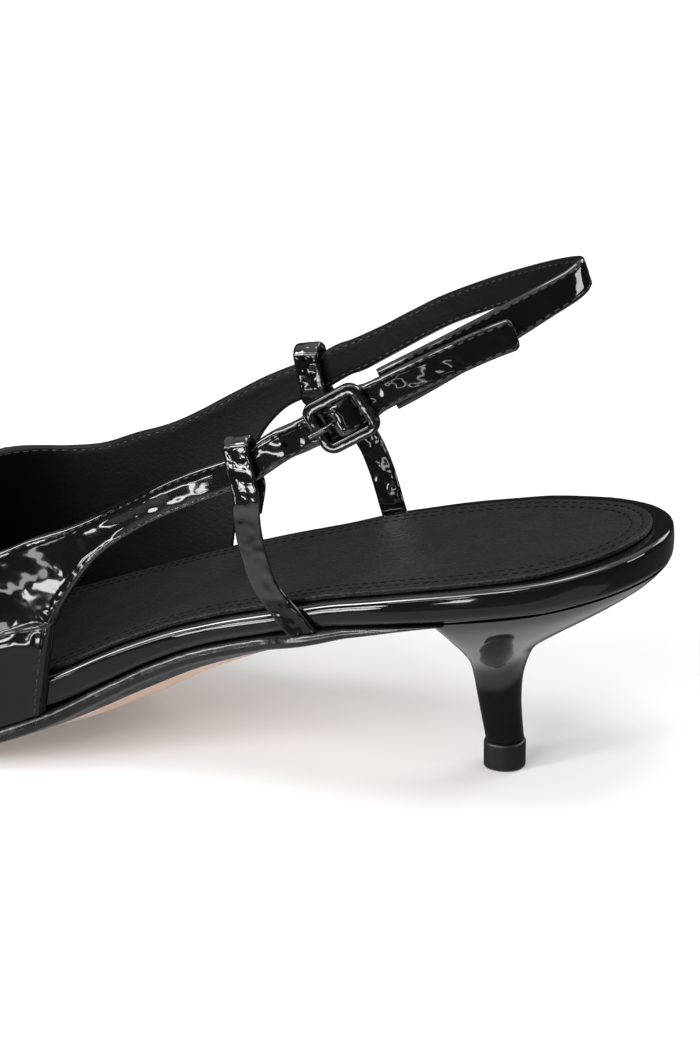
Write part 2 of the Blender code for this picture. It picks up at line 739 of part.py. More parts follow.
def make_front_strap():
    """Strap under the buckle's sides and over its centre bar, with a hole for the prong."""
    points, rest = strap_line(FRONT_STRAP, 8, strap_start(1, FRONT_STRAP))
    hints = hanging(points, [row[0] for row in rest])
    level = [across for _, across, _ in frames(points, hints)]
    centre, along, _, out = buckle_frame()
    lifted = [point + out * strap_rise(np.dot(point - centre, along)) for point in points]
    rows = strap_rows(lifted, level, [BAND_WIDTH] * len(lifted), STRAP_THICKNESS)
    strap = finish("front_strap", loft(rows), patent)
    hole = centre - along * PRONG_HOLE
    punch = tube("prong_hole", [hole - out * 0.004, hole + out * 0.006], PRONG + 4 * GAP, patent)
    cut(strap, punch, "DIFFERENCE")
    return strap


def cut(piece, tool, operation):
    """Use a piece as a cutter of another."""
    shoe.objects.unlink(tool)
    cutters.objects.link(tool)
    tool.hide_render = True
    tool.display_type = "WIRE"
    step = piece.modifiers.new(tool.name, "BOOLEAN")
    step.operation = operation
    step.object = tool


def tube(name, points, diameter, look, cyclic=False):
    """Round bar along a line of points, as a mesh."""
    curve = bpy.data.curves.new(name, "CURVE")
    curve.dimensions = "3D"
    curve.bevel_depth = diameter / 2
    curve.bevel_resolution = 2
    curve.use_fill_caps = not cyclic
    spline = curve.splines.new("POLY")
    spline.points.add(len(points) - 1)
    for place, point in zip(spline.points, points):
        place.co = (*point, 1.0)
    spline.use_cyclic_u = cyclic
    wire = bpy.data.objects.new(name, curve)
    shoe.objects.link(wire)
    evaluated = wire.evaluated_get(bpy.context.evaluated_depsgraph_get())
    mesh = bpy.data.meshes.new_from_object(evaluated)
    bpy.data.objects.remove(wire)
    bm = bmesh.new()
    bm.from_mesh(mesh)
    bpy.data.meshes.remove(mesh)
    return finish(name, bm, look)


def make_buckle():
    """Rounded rectangular frame with a bar across its middle."""
    middle, along, across, out = buckle_frame()
    centre = middle + out * FRAME_LIFT
    a = BUCKLE_LENGTH / 2 - BUCKLE_BAR / 2
    b = BUCKLE_WIDTH / 2 - BUCKLE_BAR / 2
    radius = BUCKLE_CORNER - BUCKLE_BAR / 2
    points = []
    for turn, (sign_a, sign_b) in enumerate(((1, 1), (-1, 1), (-1, -1), (1, -1))):
        for k in range(5):
            angle = pi / 2 * (turn + k / 4)
            u = sign_a * (a - radius) + radius * cos(angle)
            v = sign_b * (b - radius) + radius * sin(angle)
            points.append(centre + along * u + across * v)
    frame = tube("buckle", points, BUCKLE_BAR, black_metal, cyclic=True)
    level = centre - out * BAR_DROP
    bar = tube("centre_bar", [level - across * b, level + across * b], CENTRE_BAR, black_metal)
    cut(frame, bar, "UNION")
    return frame


def make_prong():
    """Pin from beside the centre bar, up through the strap and forward onto the frame."""
    middle, along, _, out = buckle_frame()
    above = FRAME_LIFT + BUCKLE_BAR / 2 + GAP + PRONG / 2
    below = FRAME_LIFT - BAR_DROP - CENTRE_BAR / 2
    bend = 0.6 * PRONG
    route = [
        (-PRONG_HOLE, below),
        (-PRONG_HOLE, above - 2 * bend),
        (-PRONG_HOLE - 0.3 * bend, above - bend),
        (-PRONG_HOLE - bend, above - 0.3 * bend),
        (-PRONG_HOLE - 2 * bend, above),
        (-BUCKLE_LENGTH / 2 - 0.3 * PRONG, above),
    ]
    points = [middle + along * u + out * n for u, n in route]
    return tube("buckle_prong", points, PRONG, black_metal)


def make_tab():
    """Narrow tab from the sling strap's cut end to the underside of the centre bar."""
    middle, along, across, out = buckle_frame()
    points, _ = strap_line(SLING, 3, strap_start(-1, SLING))
    direction = unit(points[-1] - points[-2])
    end = points[-1] + direction * 1.5 * GAP
    half = TAB_THICKNESS / 2
    under_bar = FRAME_LIFT - BAR_DROP - CENTRE_BAR / 2 - GAP - half
    under_strap = -STRAP_THICKNESS / 2 - GAP - half
    bar_end = -CENTRE_BAR
    near_edge = BUCKLE_LENGTH / 2 - 1.2 * BUCKLE_BAR
    route = [
        middle + along * bar_end + out * under_bar,
        middle + out * under_bar,
        middle + along * 0.5 * near_edge + out * (0.75 * under_bar + 0.25 * under_strap),
        middle + along * near_edge + out * (under_strap - 0.2 * TAB_THICKNESS),
    ]
    route += [end + direction * 2 * TAB_THICKNESS, end]
    line = through(route, 3)
    rows = strap_rows(line, [across] * len(line), [TAB_WIDTH] * len(line), TAB_THICKNESS)
    return finish("buckle_tab", loft(rows), patent)


def keeper_line(side, foot, loop, *leg):
    """Middle line of a keeper: from the sole's edge up, round the band and down inside it."""
    half = KEEPER_THICKNESS / 2
    middle = band_middle(side)
    outer = max(abs(upper_point(loop, rise, side, -PANEL_STEP)[1]) for rise in (0.8, 1))
    inner = min(abs(upper_point(loop, rise, side, UPPER_WALL)[1]) for rise in (0.8, 1))
    outer += LOOP_CLEARANCE + half
    inner -= LOOP_CLEARANCE + half
    radius = (outer - inner) / 2
    reach = BAND_WIDTH / 2 + LOOP_ROOM
    lean = np.array([sin(KEEPER_TILT), 0.0, cos(KEEPER_TILT)])
    low = np.array([middle[0], 0.0, middle[2]]) - lean * reach
    x, y = edge(foot, side, 2 * GAP + half)
    y = abs(y)
    bottom = feather(x) + GAP
    knee = (board_top(x) - bottom) / (low[2] - bottom)
    points = []
    for share in [0.0, *(knee + (1 - knee) * k / KEEPER_LEG for k in range(KEEPER_LEG + 1))]:
        run = smooth([0.0, leg[0], leg[2], 1.0], [0.0, leg[1], leg[3], 1.0], share)
        spread = max(0.0, (share - knee) / (1 - knee))
        place = (x + (low[0] - x) * run, y + (outer - y) * spread, bottom + (low[2] - bottom) * share)
        points.append(np.array(place))
    crown = low + lean * 2 * reach
    for k in range(7):
        angle = pi * k / 6
        points.append(crown + lean * radius * sin(angle) + (0, inner + radius * (1 + cos(angle)), 0))
    points.append(low + lean * 0.5 * reach + (0, inner, 0))
    points.append(low + (0, inner + 0.15 * radius, 0))
    down = unit(points[KEEPER_LEG + 1] - points[KEEPER_LEG])
    points.append(points[KEEPER_LEG + 1] - down * KEEPER_LAP - (0, KEEPER_THICKNESS + GAP, 0))
    return [point * (1, side, 1) for point in points]


def make_keeper(name, *row):
    """Folded strap whose foot is cut along the sole's edge."""
    line = through(keeper_line(*row), 2)
    hint = np.array([-cos(KEEPER_TILT), 0.0, sin(KEEPER_TILT)])
    rows = strap_rows(line, [hint] * len(line), [KEEPER_WIDTH] * len(line), KEEPER_THICKNESS)
    rise = (line[1] - line[0]) / (line[1][2] - line[0][2])
    for _ in range(FOOT_ROUNDS):
        rows[0] = [point + rise * (feather(point[0]) + GAP - point[2]) for point in rows[0]]
    return finish(name, loft(rows), patent)


def main():
    global shoe, cutters, patent, sock_leather, sole_leather, tip_rubber, black_metal
    for old in list(bpy.data.objects):
        bpy.data.objects.remove(old)
    shoe = bpy.data.collections.new("slingback_pump")
    cutters = bpy.data.collections.new("cutters")
    bpy.context.scene.collection.children.link(shoe)
    bpy.context.scene.collection.children.link(cutters)
    patent = material("Black patent leather", (0.006, 0.006, 0.007), 0.08)
    sock_leather = material("Black sock leather", (0.012, 0.012, 0.013), 0.55)
    sole_leather = material("Sole leather", (0.55, 0.36, 0.27), 0.45)
    tip_rubber = material("Tip rubber", (0.008, 0.008, 0.008), 0.45)
    black_metal = material("Black enamelled metal", (0.006, 0.006, 0.006), 0.12, 0.0)
    make_outsole()
    make_footbed()
    make_sock()
    make_upper()
    make_heel()
    make_top_piece()
    make_sling_strap()
    make_front_strap()
    make_buckle()
    make_prong()
    make_tab()
    for row in KEEPERS:
        make_keeper(*row)


main()
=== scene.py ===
"""Looks of the slingback pump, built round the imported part.

The pieces follow the part's own sections at a finer step, with rounded edges, stitching, creases and
procedural materials. Metres, +Z up, origin at the heel tip, toe along +X, buckle side +Y.
"""

from bisect import bisect_right
from functools import lru_cache
from math import cos, pi, radians, sin, sqrt

import bmesh
import bpy
import numpy as np
from mathutils import Matrix, Vector, noise


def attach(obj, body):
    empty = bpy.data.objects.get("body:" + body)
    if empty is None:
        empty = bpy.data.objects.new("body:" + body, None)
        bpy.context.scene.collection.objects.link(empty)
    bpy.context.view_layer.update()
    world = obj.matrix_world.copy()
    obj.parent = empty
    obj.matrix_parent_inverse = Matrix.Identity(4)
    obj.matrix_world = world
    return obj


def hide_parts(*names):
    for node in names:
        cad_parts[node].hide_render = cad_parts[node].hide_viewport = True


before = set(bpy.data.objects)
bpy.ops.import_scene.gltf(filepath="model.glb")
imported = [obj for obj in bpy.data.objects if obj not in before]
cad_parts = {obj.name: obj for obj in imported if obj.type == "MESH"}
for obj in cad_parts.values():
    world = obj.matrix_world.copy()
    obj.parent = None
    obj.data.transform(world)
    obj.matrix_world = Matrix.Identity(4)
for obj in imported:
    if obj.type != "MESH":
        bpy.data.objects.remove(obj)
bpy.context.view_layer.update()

# Driving dimensions
LENGTH = 0.250              # footbed, from its back end to the toe, along the floor
HEEL_OVERHANG = 0.036       # back end of the footbed behind the centre of the heel tip
SEAT_WIDTH = 0.0550
WAIST_WIDTH = 0.0500
BALL_WIDTH = 0.0735
SEAT_HEIGHT = 0.0454        # underside of the footbed over the heel tip
TOE_SPRING = 0.0045
SOLE_EDGE = 0.0038          # thickness of the outsole's edge
ARCH_CAMBER = 0.0068        # how far the outsole bulges below its edge in the arch
BOARD_EDGE = 0.0074         # thickness of the footbed's edge band
SOCK_THICKNESS = 0.0011
SOCK_MARGIN = 0.0026        # footbed left bare beside the sock
SOCK_BACK_MARGIN = 0.0046   # footbed left bare behind the sock
UPPER_WALL = 0.0016
PANEL_STEP = 0.0005         # how far the saddle panel stands proud of the vamp
UPPER_HEIGHT = 0.0443       # topline above the feather line where the wings end
BAND_WIDTH = 0.0072
STRAP_THICKNESS = 0.0018
SLING_WIDTH = 0.0068        # at the back of the heel
SLING_RISE = 0.1166         # middle of the sling strap above the floor at the back
KEEPER_WIDTH = 0.0060
KEEPER_THICKNESS = 0.0011
BUCKLE_LENGTH = 0.0143      # along the strap
BUCKLE_WIDTH = 0.0124       # across the strap
BUCKLE_BAR = 0.0019         # diameter of the frame
BUCKLE_CORNER = 0.0030
CENTRE_BAR = 0.0015
PRONG = 0.0013
PRONG_HOLE = 0.0019         # from the centre bar to the hole in the strap
TAB_WIDTH = 0.0055
TAB_THICKNESS = 0.0011
TIP_LENGTH = 0.0090
TIP_WIDTH = 0.0086
TIP_HEIGHT = 0.0064
TIP_FLARE = 0.0004          # how far the top piece stands out from the stem
GAP = 0.0003                # between pieces that touch

FRAME_LIFT = STRAP_THICKNESS / 2 + GAP + BUCKLE_BAR / 2      # frame above the strap's middle
BAR_DROP = BUCKLE_BAR / 2 + 0.2 * CENTRE_BAR                 # centre bar below the frame
STRAP_BULGE = FRAME_LIFT - BAR_DROP + CENTRE_BAR / 2 + GAP + STRAP_THICKNESS / 2
BACK = -HEEL_OVERHANG
HALF_SEAT = SEAT_WIDTH / 2
POINT_REACH = 2.0           # how much further than the sides the pointed toe moves in an offset
FULLNESS = 0.035            # how far the upper's side swells outside the feather line, per half-width
INNER_OPENING = 0.97        # topline on the inner side, as a share of the outer side's
LOW_HANDLE = 0.42           # handles of the curve up the upper's section, as shares of height and width
HIGH_HANDLE = (0.60, 0.38)
THIN_HEIGHT = 0.004         # below this height the wall's inside keeps closer to its outside
TOE_DRAW = 0.0012           # how far the footbed draws in from the upper at the toe
DRAW_START = 0.8            # station where it begins to, and the stretch to the toe
DRAW_LENGTH = 0.2
SWELL_REACH = 1.5           # half-length of the sole's swell under a keeper, per keeper width

# Plan of the footbed: station as a share of the length, the width it follows, and the shares of
# that width on the outer and inner side of the line from the heel to the toe point.
PLAN = [
    (0.000, SEAT_WIDTH, 0.000, 0.000),
    (0.020, SEAT_WIDTH, 0.248, 0.248),
    (0.044, SEAT_WIDTH, 0.352, 0.352),
    (0.090, SEAT_WIDTH, 0.456, 0.456),
    (0.152, SEAT_WIDTH, 0.500, 0.500),
    (0.200, SEAT_WIDTH, 0.504, 0.500),
    (0.264, WAIST_WIDTH, 0.536, 0.524),
    (0.328, WAIST_WIDTH, 0.524, 0.490),
    (0.392, WAIST_WIDTH, 0.532, 0.470),
    (0.456, WAIST_WIDTH, 0.590, 0.504),
    (0.512, BALL_WIDTH, 0.452, 0.398),
    (0.576, BALL_WIDTH, 0.504, 0.446),
    (0.632, BALL_WIDTH, 0.518, 0.476),
    (0.680, BALL_WIDTH, 0.500, 0.480),
    (0.736, BALL_WIDTH, 0.443, 0.450),
    (0.800, BALL_WIDTH, 0.346, 0.368),
    (0.864, BALL_WIDTH, 0.241, 0.262),
    (0.928, BALL_WIDTH, 0.145, 0.159),
    (0.976, BALL_WIDTH, 0.076, 0.080),
    (1.000, BALL_WIDTH, 0.000, 0.000),
]

# Side view: station, height of the sole's lower edge as a share of the seat height, toe spring,
# thickness of the sole and of the footbed, camber of the arch, each as a share of its named size.
PROFILE = [
    (0.000, 1.170, 0.00, 0.00, 1.00, 0.00),
    (0.088, 1.059, 0.00, 0.00, 0.98, 0.00),
    (0.152, 0.991, 0.00, 0.00, 0.95, 0.00),
    (0.200, 0.923, 0.00, 0.21, 0.88, 0.00),
    (0.240, 0.852, 0.00, 0.53, 0.81, 0.05),
    (0.280, 0.782, 0.00, 0.76, 0.76, 0.18),
    (0.328, 0.696, 0.00, 0.87, 0.69, 0.40),
    (0.384, 0.588, 0.00, 0.95, 0.71, 0.75),
    (0.436, 0.454, 0.00, 1.00, 0.83, 1.00),
    (0.472, 0.341, 0.00, 1.00, 0.96, 0.90),
    (0.512, 0.220, 0.00, 1.00, 1.00, 0.50),
    (0.556, 0.123, 0.00, 0.97, 0.88, 0.12),
    (0.592, 0.055, 0.00, 0.95, 0.74, 0.00),
    (0.616, 0.018, 0.00, 0.93, 0.66, 0.00),
    (0.636, 0.000, 0.00, 0.92, 0.62, 0.00),
    (0.700, 0.000, 0.00, 0.90, 0.55, 0.00),
    (0.784, 0.000, 0.11, 0.88, 0.50, 0.00),
    (0.864, 0.000, 0.38, 0.85, 0.44, 0.00),
    (0.944, 0.000, 0.71, 0.82, 0.36, 0.00),
    (1.000, 0.000, 1.00, 0.80, 0.30, 0.00),
]

# How far the sole's edge stands outside the footbed: station and share of the upper's wall.
SOLE_REACH = [
    (0.190, 0.15),
    (0.380, 0.20),
    (0.470, 0.55),
    (0.540, 1.55),
    (1.000, 1.45),
]

# Topline and ridge of the upper: station, height above the feather line as a share of the upper's
# height, and half the opening as a share of half the ball's width.
TOPLINE = [
    (0.330, 1.013, 0.842),
    (0.364, 0.986, 0.862),
    (0.404, 0.957, 0.866),
    (0.444, 0.925, 0.851),
    (0.484, 0.911, 0.836),
    (0.524, 0.918, 0.852),
    (0.560, 0.897, 0.892),
    (0.592, 0.914, 0.900),
    (0.624, 0.955, 0.830),
    (0.648, 0.976, 0.640),
    (0.664, 0.985, 0.390),
    (0.672, 0.988, 0.000),
    (0.720, 0.884, 0.000),
    (0.784, 0.700, 0.000),
    (0.848, 0.522, 0.000),
    (0.904, 0.386, 0.000),
    (0.952, 0.290, 0.000),
    (0.978, 0.215, 0.000),
    (1.000, 0.000, 0.000),
]

# Lines across the upper from its top to its foot: stations on the topline or ridge, on the lower
# edge of the saddle panel and on the feather line, with the height of the panel's edge as a share
# of the wall. Each wing's rows without a foot are open below.
OUTER_WING = [
    (0.3448, 0.3304, 0.838, 0.000),
    (0.370, 0.358, 0.829, 0.000),
    (0.396, 0.388, 0.822, 0.000),
    (0.424, 0.418, 0.816, 0.000),
    (0.452, 0.446, 0.800, 0.000),
    (0.476, 0.468, 0.757, 0.000),
    (0.496, 0.481, 0.690, 0.000),
    (0.516, 0.492, 0.610, 0.000),
    (0.536, 0.500, 0.530, 0.000),
    (0.556, 0.506, 0.450, 0.515),
    (0.584, 0.532, 0.475, 0.548),
    (0.612, 0.564, 0.505, 0.584),
    (0.636, 0.596, 0.545, 0.620),
]
INNER_WING = [
    (0.3692, 0.3548, 0.815, 0.000),
    (0.396, 0.382, 0.800, 0.000),
    (0.422, 0.402, 0.735, 0.000),
    (0.448, 0.414, 0.640, 0.000),
    (0.472, 0.421, 0.535, 0.000),
    (0.496, 0.427, 0.430, 0.434),
    (0.524, 0.464, 0.440, 0.474),
    (0.552, 0.500, 0.450, 0.512),
    (0.582, 0.534, 0.470, 0.550),
    (0.612, 0.566, 0.500, 0.585),
    (0.636, 0.596, 0.545, 0.620),
]
VAMP_LINES = [
    (0.656, 0.628, 0.600, 0.656),
    (0.672, 0.664, 0.670, 0.692),
    (0.696, 0.700, 0.755, 0.728),
    (0.720, 0.728, 0.870, 0.764),
    (0.740, 0.740, 1.000, 0.796),
    (0.776, 0.776, 1.000, 0.824),
    (0.820, 0.820, 1.000, 0.856),
    (0.864, 0.864, 1.000, 0.888),
    (0.908, 0.908, 1.000, 0.920),
    (0.944, 0.944, 1.000, 0.950),
    (0.974, 0.974, 1.000, 0.976),
    (0.992, 0.992, 1.000, 0.992),
    (1.000, 1.000, 1.000, 1.000),
]
THROAT = 0.672              # station where the topline crosses the ridge

# Heel from the top piece up to the seat: share of the height, and how far the outline has grown
# from the stem to the seat at the back, beside and in front.
HEEL_FLARE = [
    (0.00, 0.000, 0.000, 0.000),
    (0.10, -0.016, 0.000, 0.100),
    (0.20, -0.025, 0.000, 0.200),
    (0.31, -0.018, 0.005, 0.300),
    (0.40, 0.012, 0.030, 0.360),
    (0.48, 0.060, 0.080, 0.400),
    (0.56, 0.175, 0.200, 0.420),
    (0.62, 0.295, 0.320, 0.440),
    (0.69, 0.440, 0.460, 0.460),
    (0.76, 0.590, 0.610, 0.500),
    (0.86, 0.790, 0.800, 0.600),
    (0.94, 0.930, 0.930, 0.780),
    (1.00, 1.000, 1.000, 1.000),
]
HEEL_FRONT = 0.0115         # breast of the heel in front of the tip's centre
HEEL_INSET = 0.0006         # seat of the heel inside the footbed's edge
STEM_SQUARENESS = 2.6
SEAT_SQUARENESS = 5.0
SEAT_CENTRE = 0.06          # centre of the heel's seat in front of the tip's, as a share of the overhang

# Middle line of the sling strap, from the inner keeper round the heel to its cut end: distance in
# front of the heel tip as a share of the overhang, side as a share of half the seat, height as a
# share of the rise at the back, width as a share of the width there, and outward lean in degrees.
SLING = [
    (1.333, -1.096, 0.6578, 1.10, 0),
    (1.222, -1.072, 0.6767, 1.08, 0),
    (1.014, -1.012, 0.7205, 1.00, 0),
    (0.803, -0.945, 0.7675, 0.98, 2),
    (0.589, -0.855, 0.8135, 0.98, 4),
    (0.278, -0.690, 0.8720, 0.99, 7),
    (0.000, -0.500, 0.9220, 1.00, 10),
    (-0.220, -0.318, 0.9610, 1.00, 14),
    (-0.380, -0.140, 0.9890, 1.00, 17),
    (-0.440, 0.000, 1.0000, 1.00, 18),
    (-0.400, 0.140, 0.9870, 1.02, 17),
    (-0.260, 0.300, 0.9610, 1.08, 14),
    (-0.060, 0.450, 0.9220, 1.20, 10),
    (0.180, 0.615, 0.8760, 1.34, 6),
    (0.400, 0.745, 0.8350, 1.44, 4),
    (0.542, 0.815, 0.8090, 1.47, 3),
]

# Middle line of the front strap, from the outer keeper through the buckle to its free tail.
FRONT_STRAP = [
    (1.139, 1.060, 0.6960, 0),
    (1.000, 1.020, 0.7200, 0),
    (0.765, 0.987, 0.7667, 0),
    (0.558, 0.945, 0.8090, 2),
    (0.360, 0.865, 0.8450, 4),
    (0.150, 0.755, 0.8790, 6),
    (-0.010, 0.640, 0.9020, 8),
    (-0.160, 0.525, 0.9200, 10),
]
BUCKLE_STATION = 0.765      # the buckle's centre, as a share of the overhang
STRAP_SCALE = (HEEL_OVERHANG, HALF_SEAT, SLING_RISE)
PART_SLING_STEPS = 3        # steps of the solids, which the buckle and its tab stand by
PART_FRONT_STEPS = 6
STRAPS_MIDDLE = 0.05        # middle of the shoe's rear half, which the straps lean away from

# Keepers: name, side, station of the foot at the sole's edge, station of the loop round the
# band, where the wing ends and a strap begins, and two points of the leg: share of the height and run.
KEEPERS = [
    ("keeper_outer", 1, 0.292, 0.3376, 0.310, 0.755, 0.810, 1.020),
    ("keeper_inner", -1, 0.278, 0.3620, 0.210, 0.100, 0.765, 0.510),
]
KEEPER_LEG = 5              # points made up a keeper's leg
FOOT_ROUNDS = 5             # rounds that bring a keeper's foot down to the sloping sole
FOOT_SPAN = 4               # points of the finer leg that give its direction there
LOOP_STEPS = 6
KEEPER_LAP = 0.0048         # inner layer below the band
KEEPER_TILT = radians(12)   # the loop leans forward
LOOP_CLEARANCE = 0.0005     # between the loop's layers and the band
LOOP_ROOM = 0.0013          # room in the loop above and below the sloping band
SOLE_SWELL = 0.0016         # how far the sole's edge swells under each keeper

# Stitches and folds
STITCH_PITCH = 0.0022
STITCH_INSET = 0.0009       # stitches inside an edge
THREAD = 0.00034            # diameter
THREAD_SIDES = 6
THREAD_HEIGHT = 0.8         # of the stitch's section, as a share of its width
THREAD_SINK = 0.00006       # middle of the thread below the leather's face
STITCH_ENDS = (0.16, 0.84)  # ends of a stitch, as shares of the pitch
STITCH_SHAPE = [            # share along the stitch, width and rise, as shares of the thread
    (0.0, 0.35, -0.35),
    (0.14, 0.85, 0.02),
    (0.5, 1.0, 0.12),
    (0.86, 0.85, 0.02),
    (1.0, 0.35, -0.35),
]
GROOVE_DEPTH = 0.00013
GROOVE_WIDTH = 0.00035
GROOVE_PULL = 0.25          # how much deeper the holes are, as a share of the depth
PUFF_RISE = 0.35            # the leather puffs up beside the groove, as a share of its depth
PUFF_PLACE = 0.0012
PUFF_WIDTH = 0.0007
FOLD = 0.0021               # width of the fold along the cut-out's front edge
FOLD_RISE = 0.0003
FOLD_SPAN = 0.75            # stretch of the fold at full height, and the power of its fall
FOLD_POWER = 6
FOLD_STITCH = 0.0028        # its stitches inside the edge
SEAM_STOP = 12              # lines left without seam stitches before the panel's end
CUT_REACH = 30              # lines searched for the place of the cut-out's stitches

# Fineness of the grids, rounded edges
EDGE_ROUND = 0.0009         # rounding of the upper's cut edges
PANEL_ROUND = 0.0006        # rounding of the saddle panel's step
EDGE_STEPS = [              # distances of the first fine lines from a cut edge
    0.0, 0.00006, 0.00015, 0.00027, 0.00042, 0.0006, 0.00078, 0.0009, 0.00105, 0.0013, 0.0017, 0.0022,
]
EDGE_LIMIT = 0.42           # largest share of a line that the small steps at each end take
SHORT_LINE = 0.0002         # the shortest length that is divided
ROW_PITCH = 0.0075          # between two rows of the upper's table near the cut-out
MIDDLE_STEPS = 14
FINE_LINES = 8              # lines made for each row of the upper's table
VAMP_FINE = 30
SIDE_LEAN = 0.35            # rise of the upper's outward hint
WELD = 0.000004             # points closer than this are one
SLIVER = 0.000002           # edges shorter than this go
TINY = 1e-12                # keeps divisions clear of zero
ACROSS = 20                 # steps across a plate
NEAR = 3                    # of them on each margin
NEAR_LIMIT = 0.3            # widest margin, as a share of the plate
ROUND_STEPS = 16            # steps over a plate's round end
LOW_ROLL = 4                # steps over a plate's lower and upper rounding
HIGH_ROLL = 5
SIDE_SHARES = (0.2, 0.4, 0.6, 0.8)
SIDE_BULGE = 0.00012
SEAT_ROUND = 0.152          # stretch of the stations over the round seat
TOE_ROUND = 0.05
SOLE_STATIONS = 136
BOARD_STATIONS = 110
SOCK_STATIONS = 100
HEEL_FINE = 96
HEEL_ROWS = 72
HEEL_FAIRING = 6
TIP_ROLL = 0.0006
BAR_SIDES = 24
SLING_STEPS = 16            # steps from one row of a strap's table to the next
FRONT_STEPS = 40
KEEPER_STEPS = 14
TAB_STEPS = 12
PRONG_STEPS = 8

# Differences of the dressed plates from the solids, and their edges
SOLE_ROLL = (0.45, 0.38)    # lower and upper rounding, as shares of the edge's thickness
BOARD_ROLL = 0.0012
CAMBER_POWER = 6
PAINT_REACH = 0.0016        # black edge paint reaches this far under the sole
SOLE_TONGUE = 0.006         # hidden stretch of the sole inside the heel's cup
SOCK_END = 0.93             # stations where the sock and its stitches end under the toe
SOCK_STITCH_END = 0.88
SOCK_BACK_END = 0.10        # station where the margin behind the sock has narrowed
SOCK_FAR_MARGIN = 0.0034    # more of the footbed left bare beside the sock on the inner side
SOCK_FAR_START = 0.12
SOCK_ROWS = [               # points of the sock's face: distance inside its edge, and depth
    (0.0016, 0.0),
    (0.0020, 0.00012),
    (0.0024, 0.0),
    (0.0040, 0.0),
    (0.0044, 0.00012),
    (0.0048, 0.0),
]
SOCK_STITCHES = [0.0020, 0.0044]

# Straps and buckle
STRAP_ROLL = 0.45           # rounding of a strap's edges, as a share of its thickness
ROLL_STEPS = 6
STRAP_INSETS = [0.0007, 0.0009, 0.0011, 0.0014, 0.0018, 0.0024]
STRAP_DIP = 0.00012         # dip along a strap's stitches
STRAP_DIP_WIDTH = 0.0003
STRAP_CROWN = 0.00006       # the strap's middle stands this much higher than its sides
STRAP_FLAT = 0.00002        # the rounded edges stay this far within the faces
STRAP_CALM = 0.25           # how much a strap's edges wrinkle, as a share of its faces
STRAP_SPREAD = 0.0016       # the strap spreads where it bends under the buckle's frame
SPREAD_PLACE = 0.0045       # from the buckle's middle
SPREAD_LENGTH = 0.0022
WRINKLED = 1.9              # for the front strap and the keepers
LINED = -0.3                # a strap's faces that look inwards more than this show the lining
TAIL_CORNER = 0.0014
HOLE = 0.0013
HOLE_SIDES = 20
STRAP_HOLES = [-0.0145, 0.0030]     # along the strap from the buckle's middle
FRAME_BAR = 0.0024          # width of the buckle's frame
FRAME_SQUARENESS = 4.5
CORNER_STEPS = 12
BAR_POINTS = 12
BAR_SQUARENESS = 2.0
PRONG_SQUARENESS = 2.3
PRONG_BEND = 0.6            # of the prong's turns, per its thickness
SHOE_MIDDLE = (0.07, 0.0, 0.06)

# Unevenness of the leather: height, size and seed of each noise
UPPER_WAVES = [(0.00011, 0.013, 3.0), (0.00004, 0.0042, 7.0)]
STRAP_WAVES = [(0.00008, 0.0030, 11.0), (0.00007, 0.009, 5.0)]

# Creases of the upper: side, start and end in the side view, width and height
CREASES = [
    (1, (0.058, 0.069, 0.0), (0.070, 0.062, 0.0), 0.0022, -0.00022),
    (1, (0.064, 0.070, 0.0), (0.079, 0.060, 0.0), 0.0020, 0.00018),
    (1, (0.075, 0.060, 0.0), (0.086, 0.052, 0.0), 0.0025, -0.00020),
    (1, (0.092, 0.048, 0.0), (0.104, 0.036, 0.0), 0.0040, 0.00030),
    (1, (0.097, 0.040, 0.0), (0.112, 0.030, 0.0), 0.0035, -0.00025),
    (1, (0.094, 0.030, 0.0), (0.118, 0.026, 0.0), 0.0030, 0.00025),
    (-1, (0.060, 0.066, 0.0), (0.080, 0.058, 0.0), 0.0030, -0.00022),
    (-1, (0.085, 0.050, 0.0), (0.104, 0.036, 0.0), 0.0040, 0.00030),
]
CREASE_TAPER = 0.3          # share of a crease over which it fades at each end

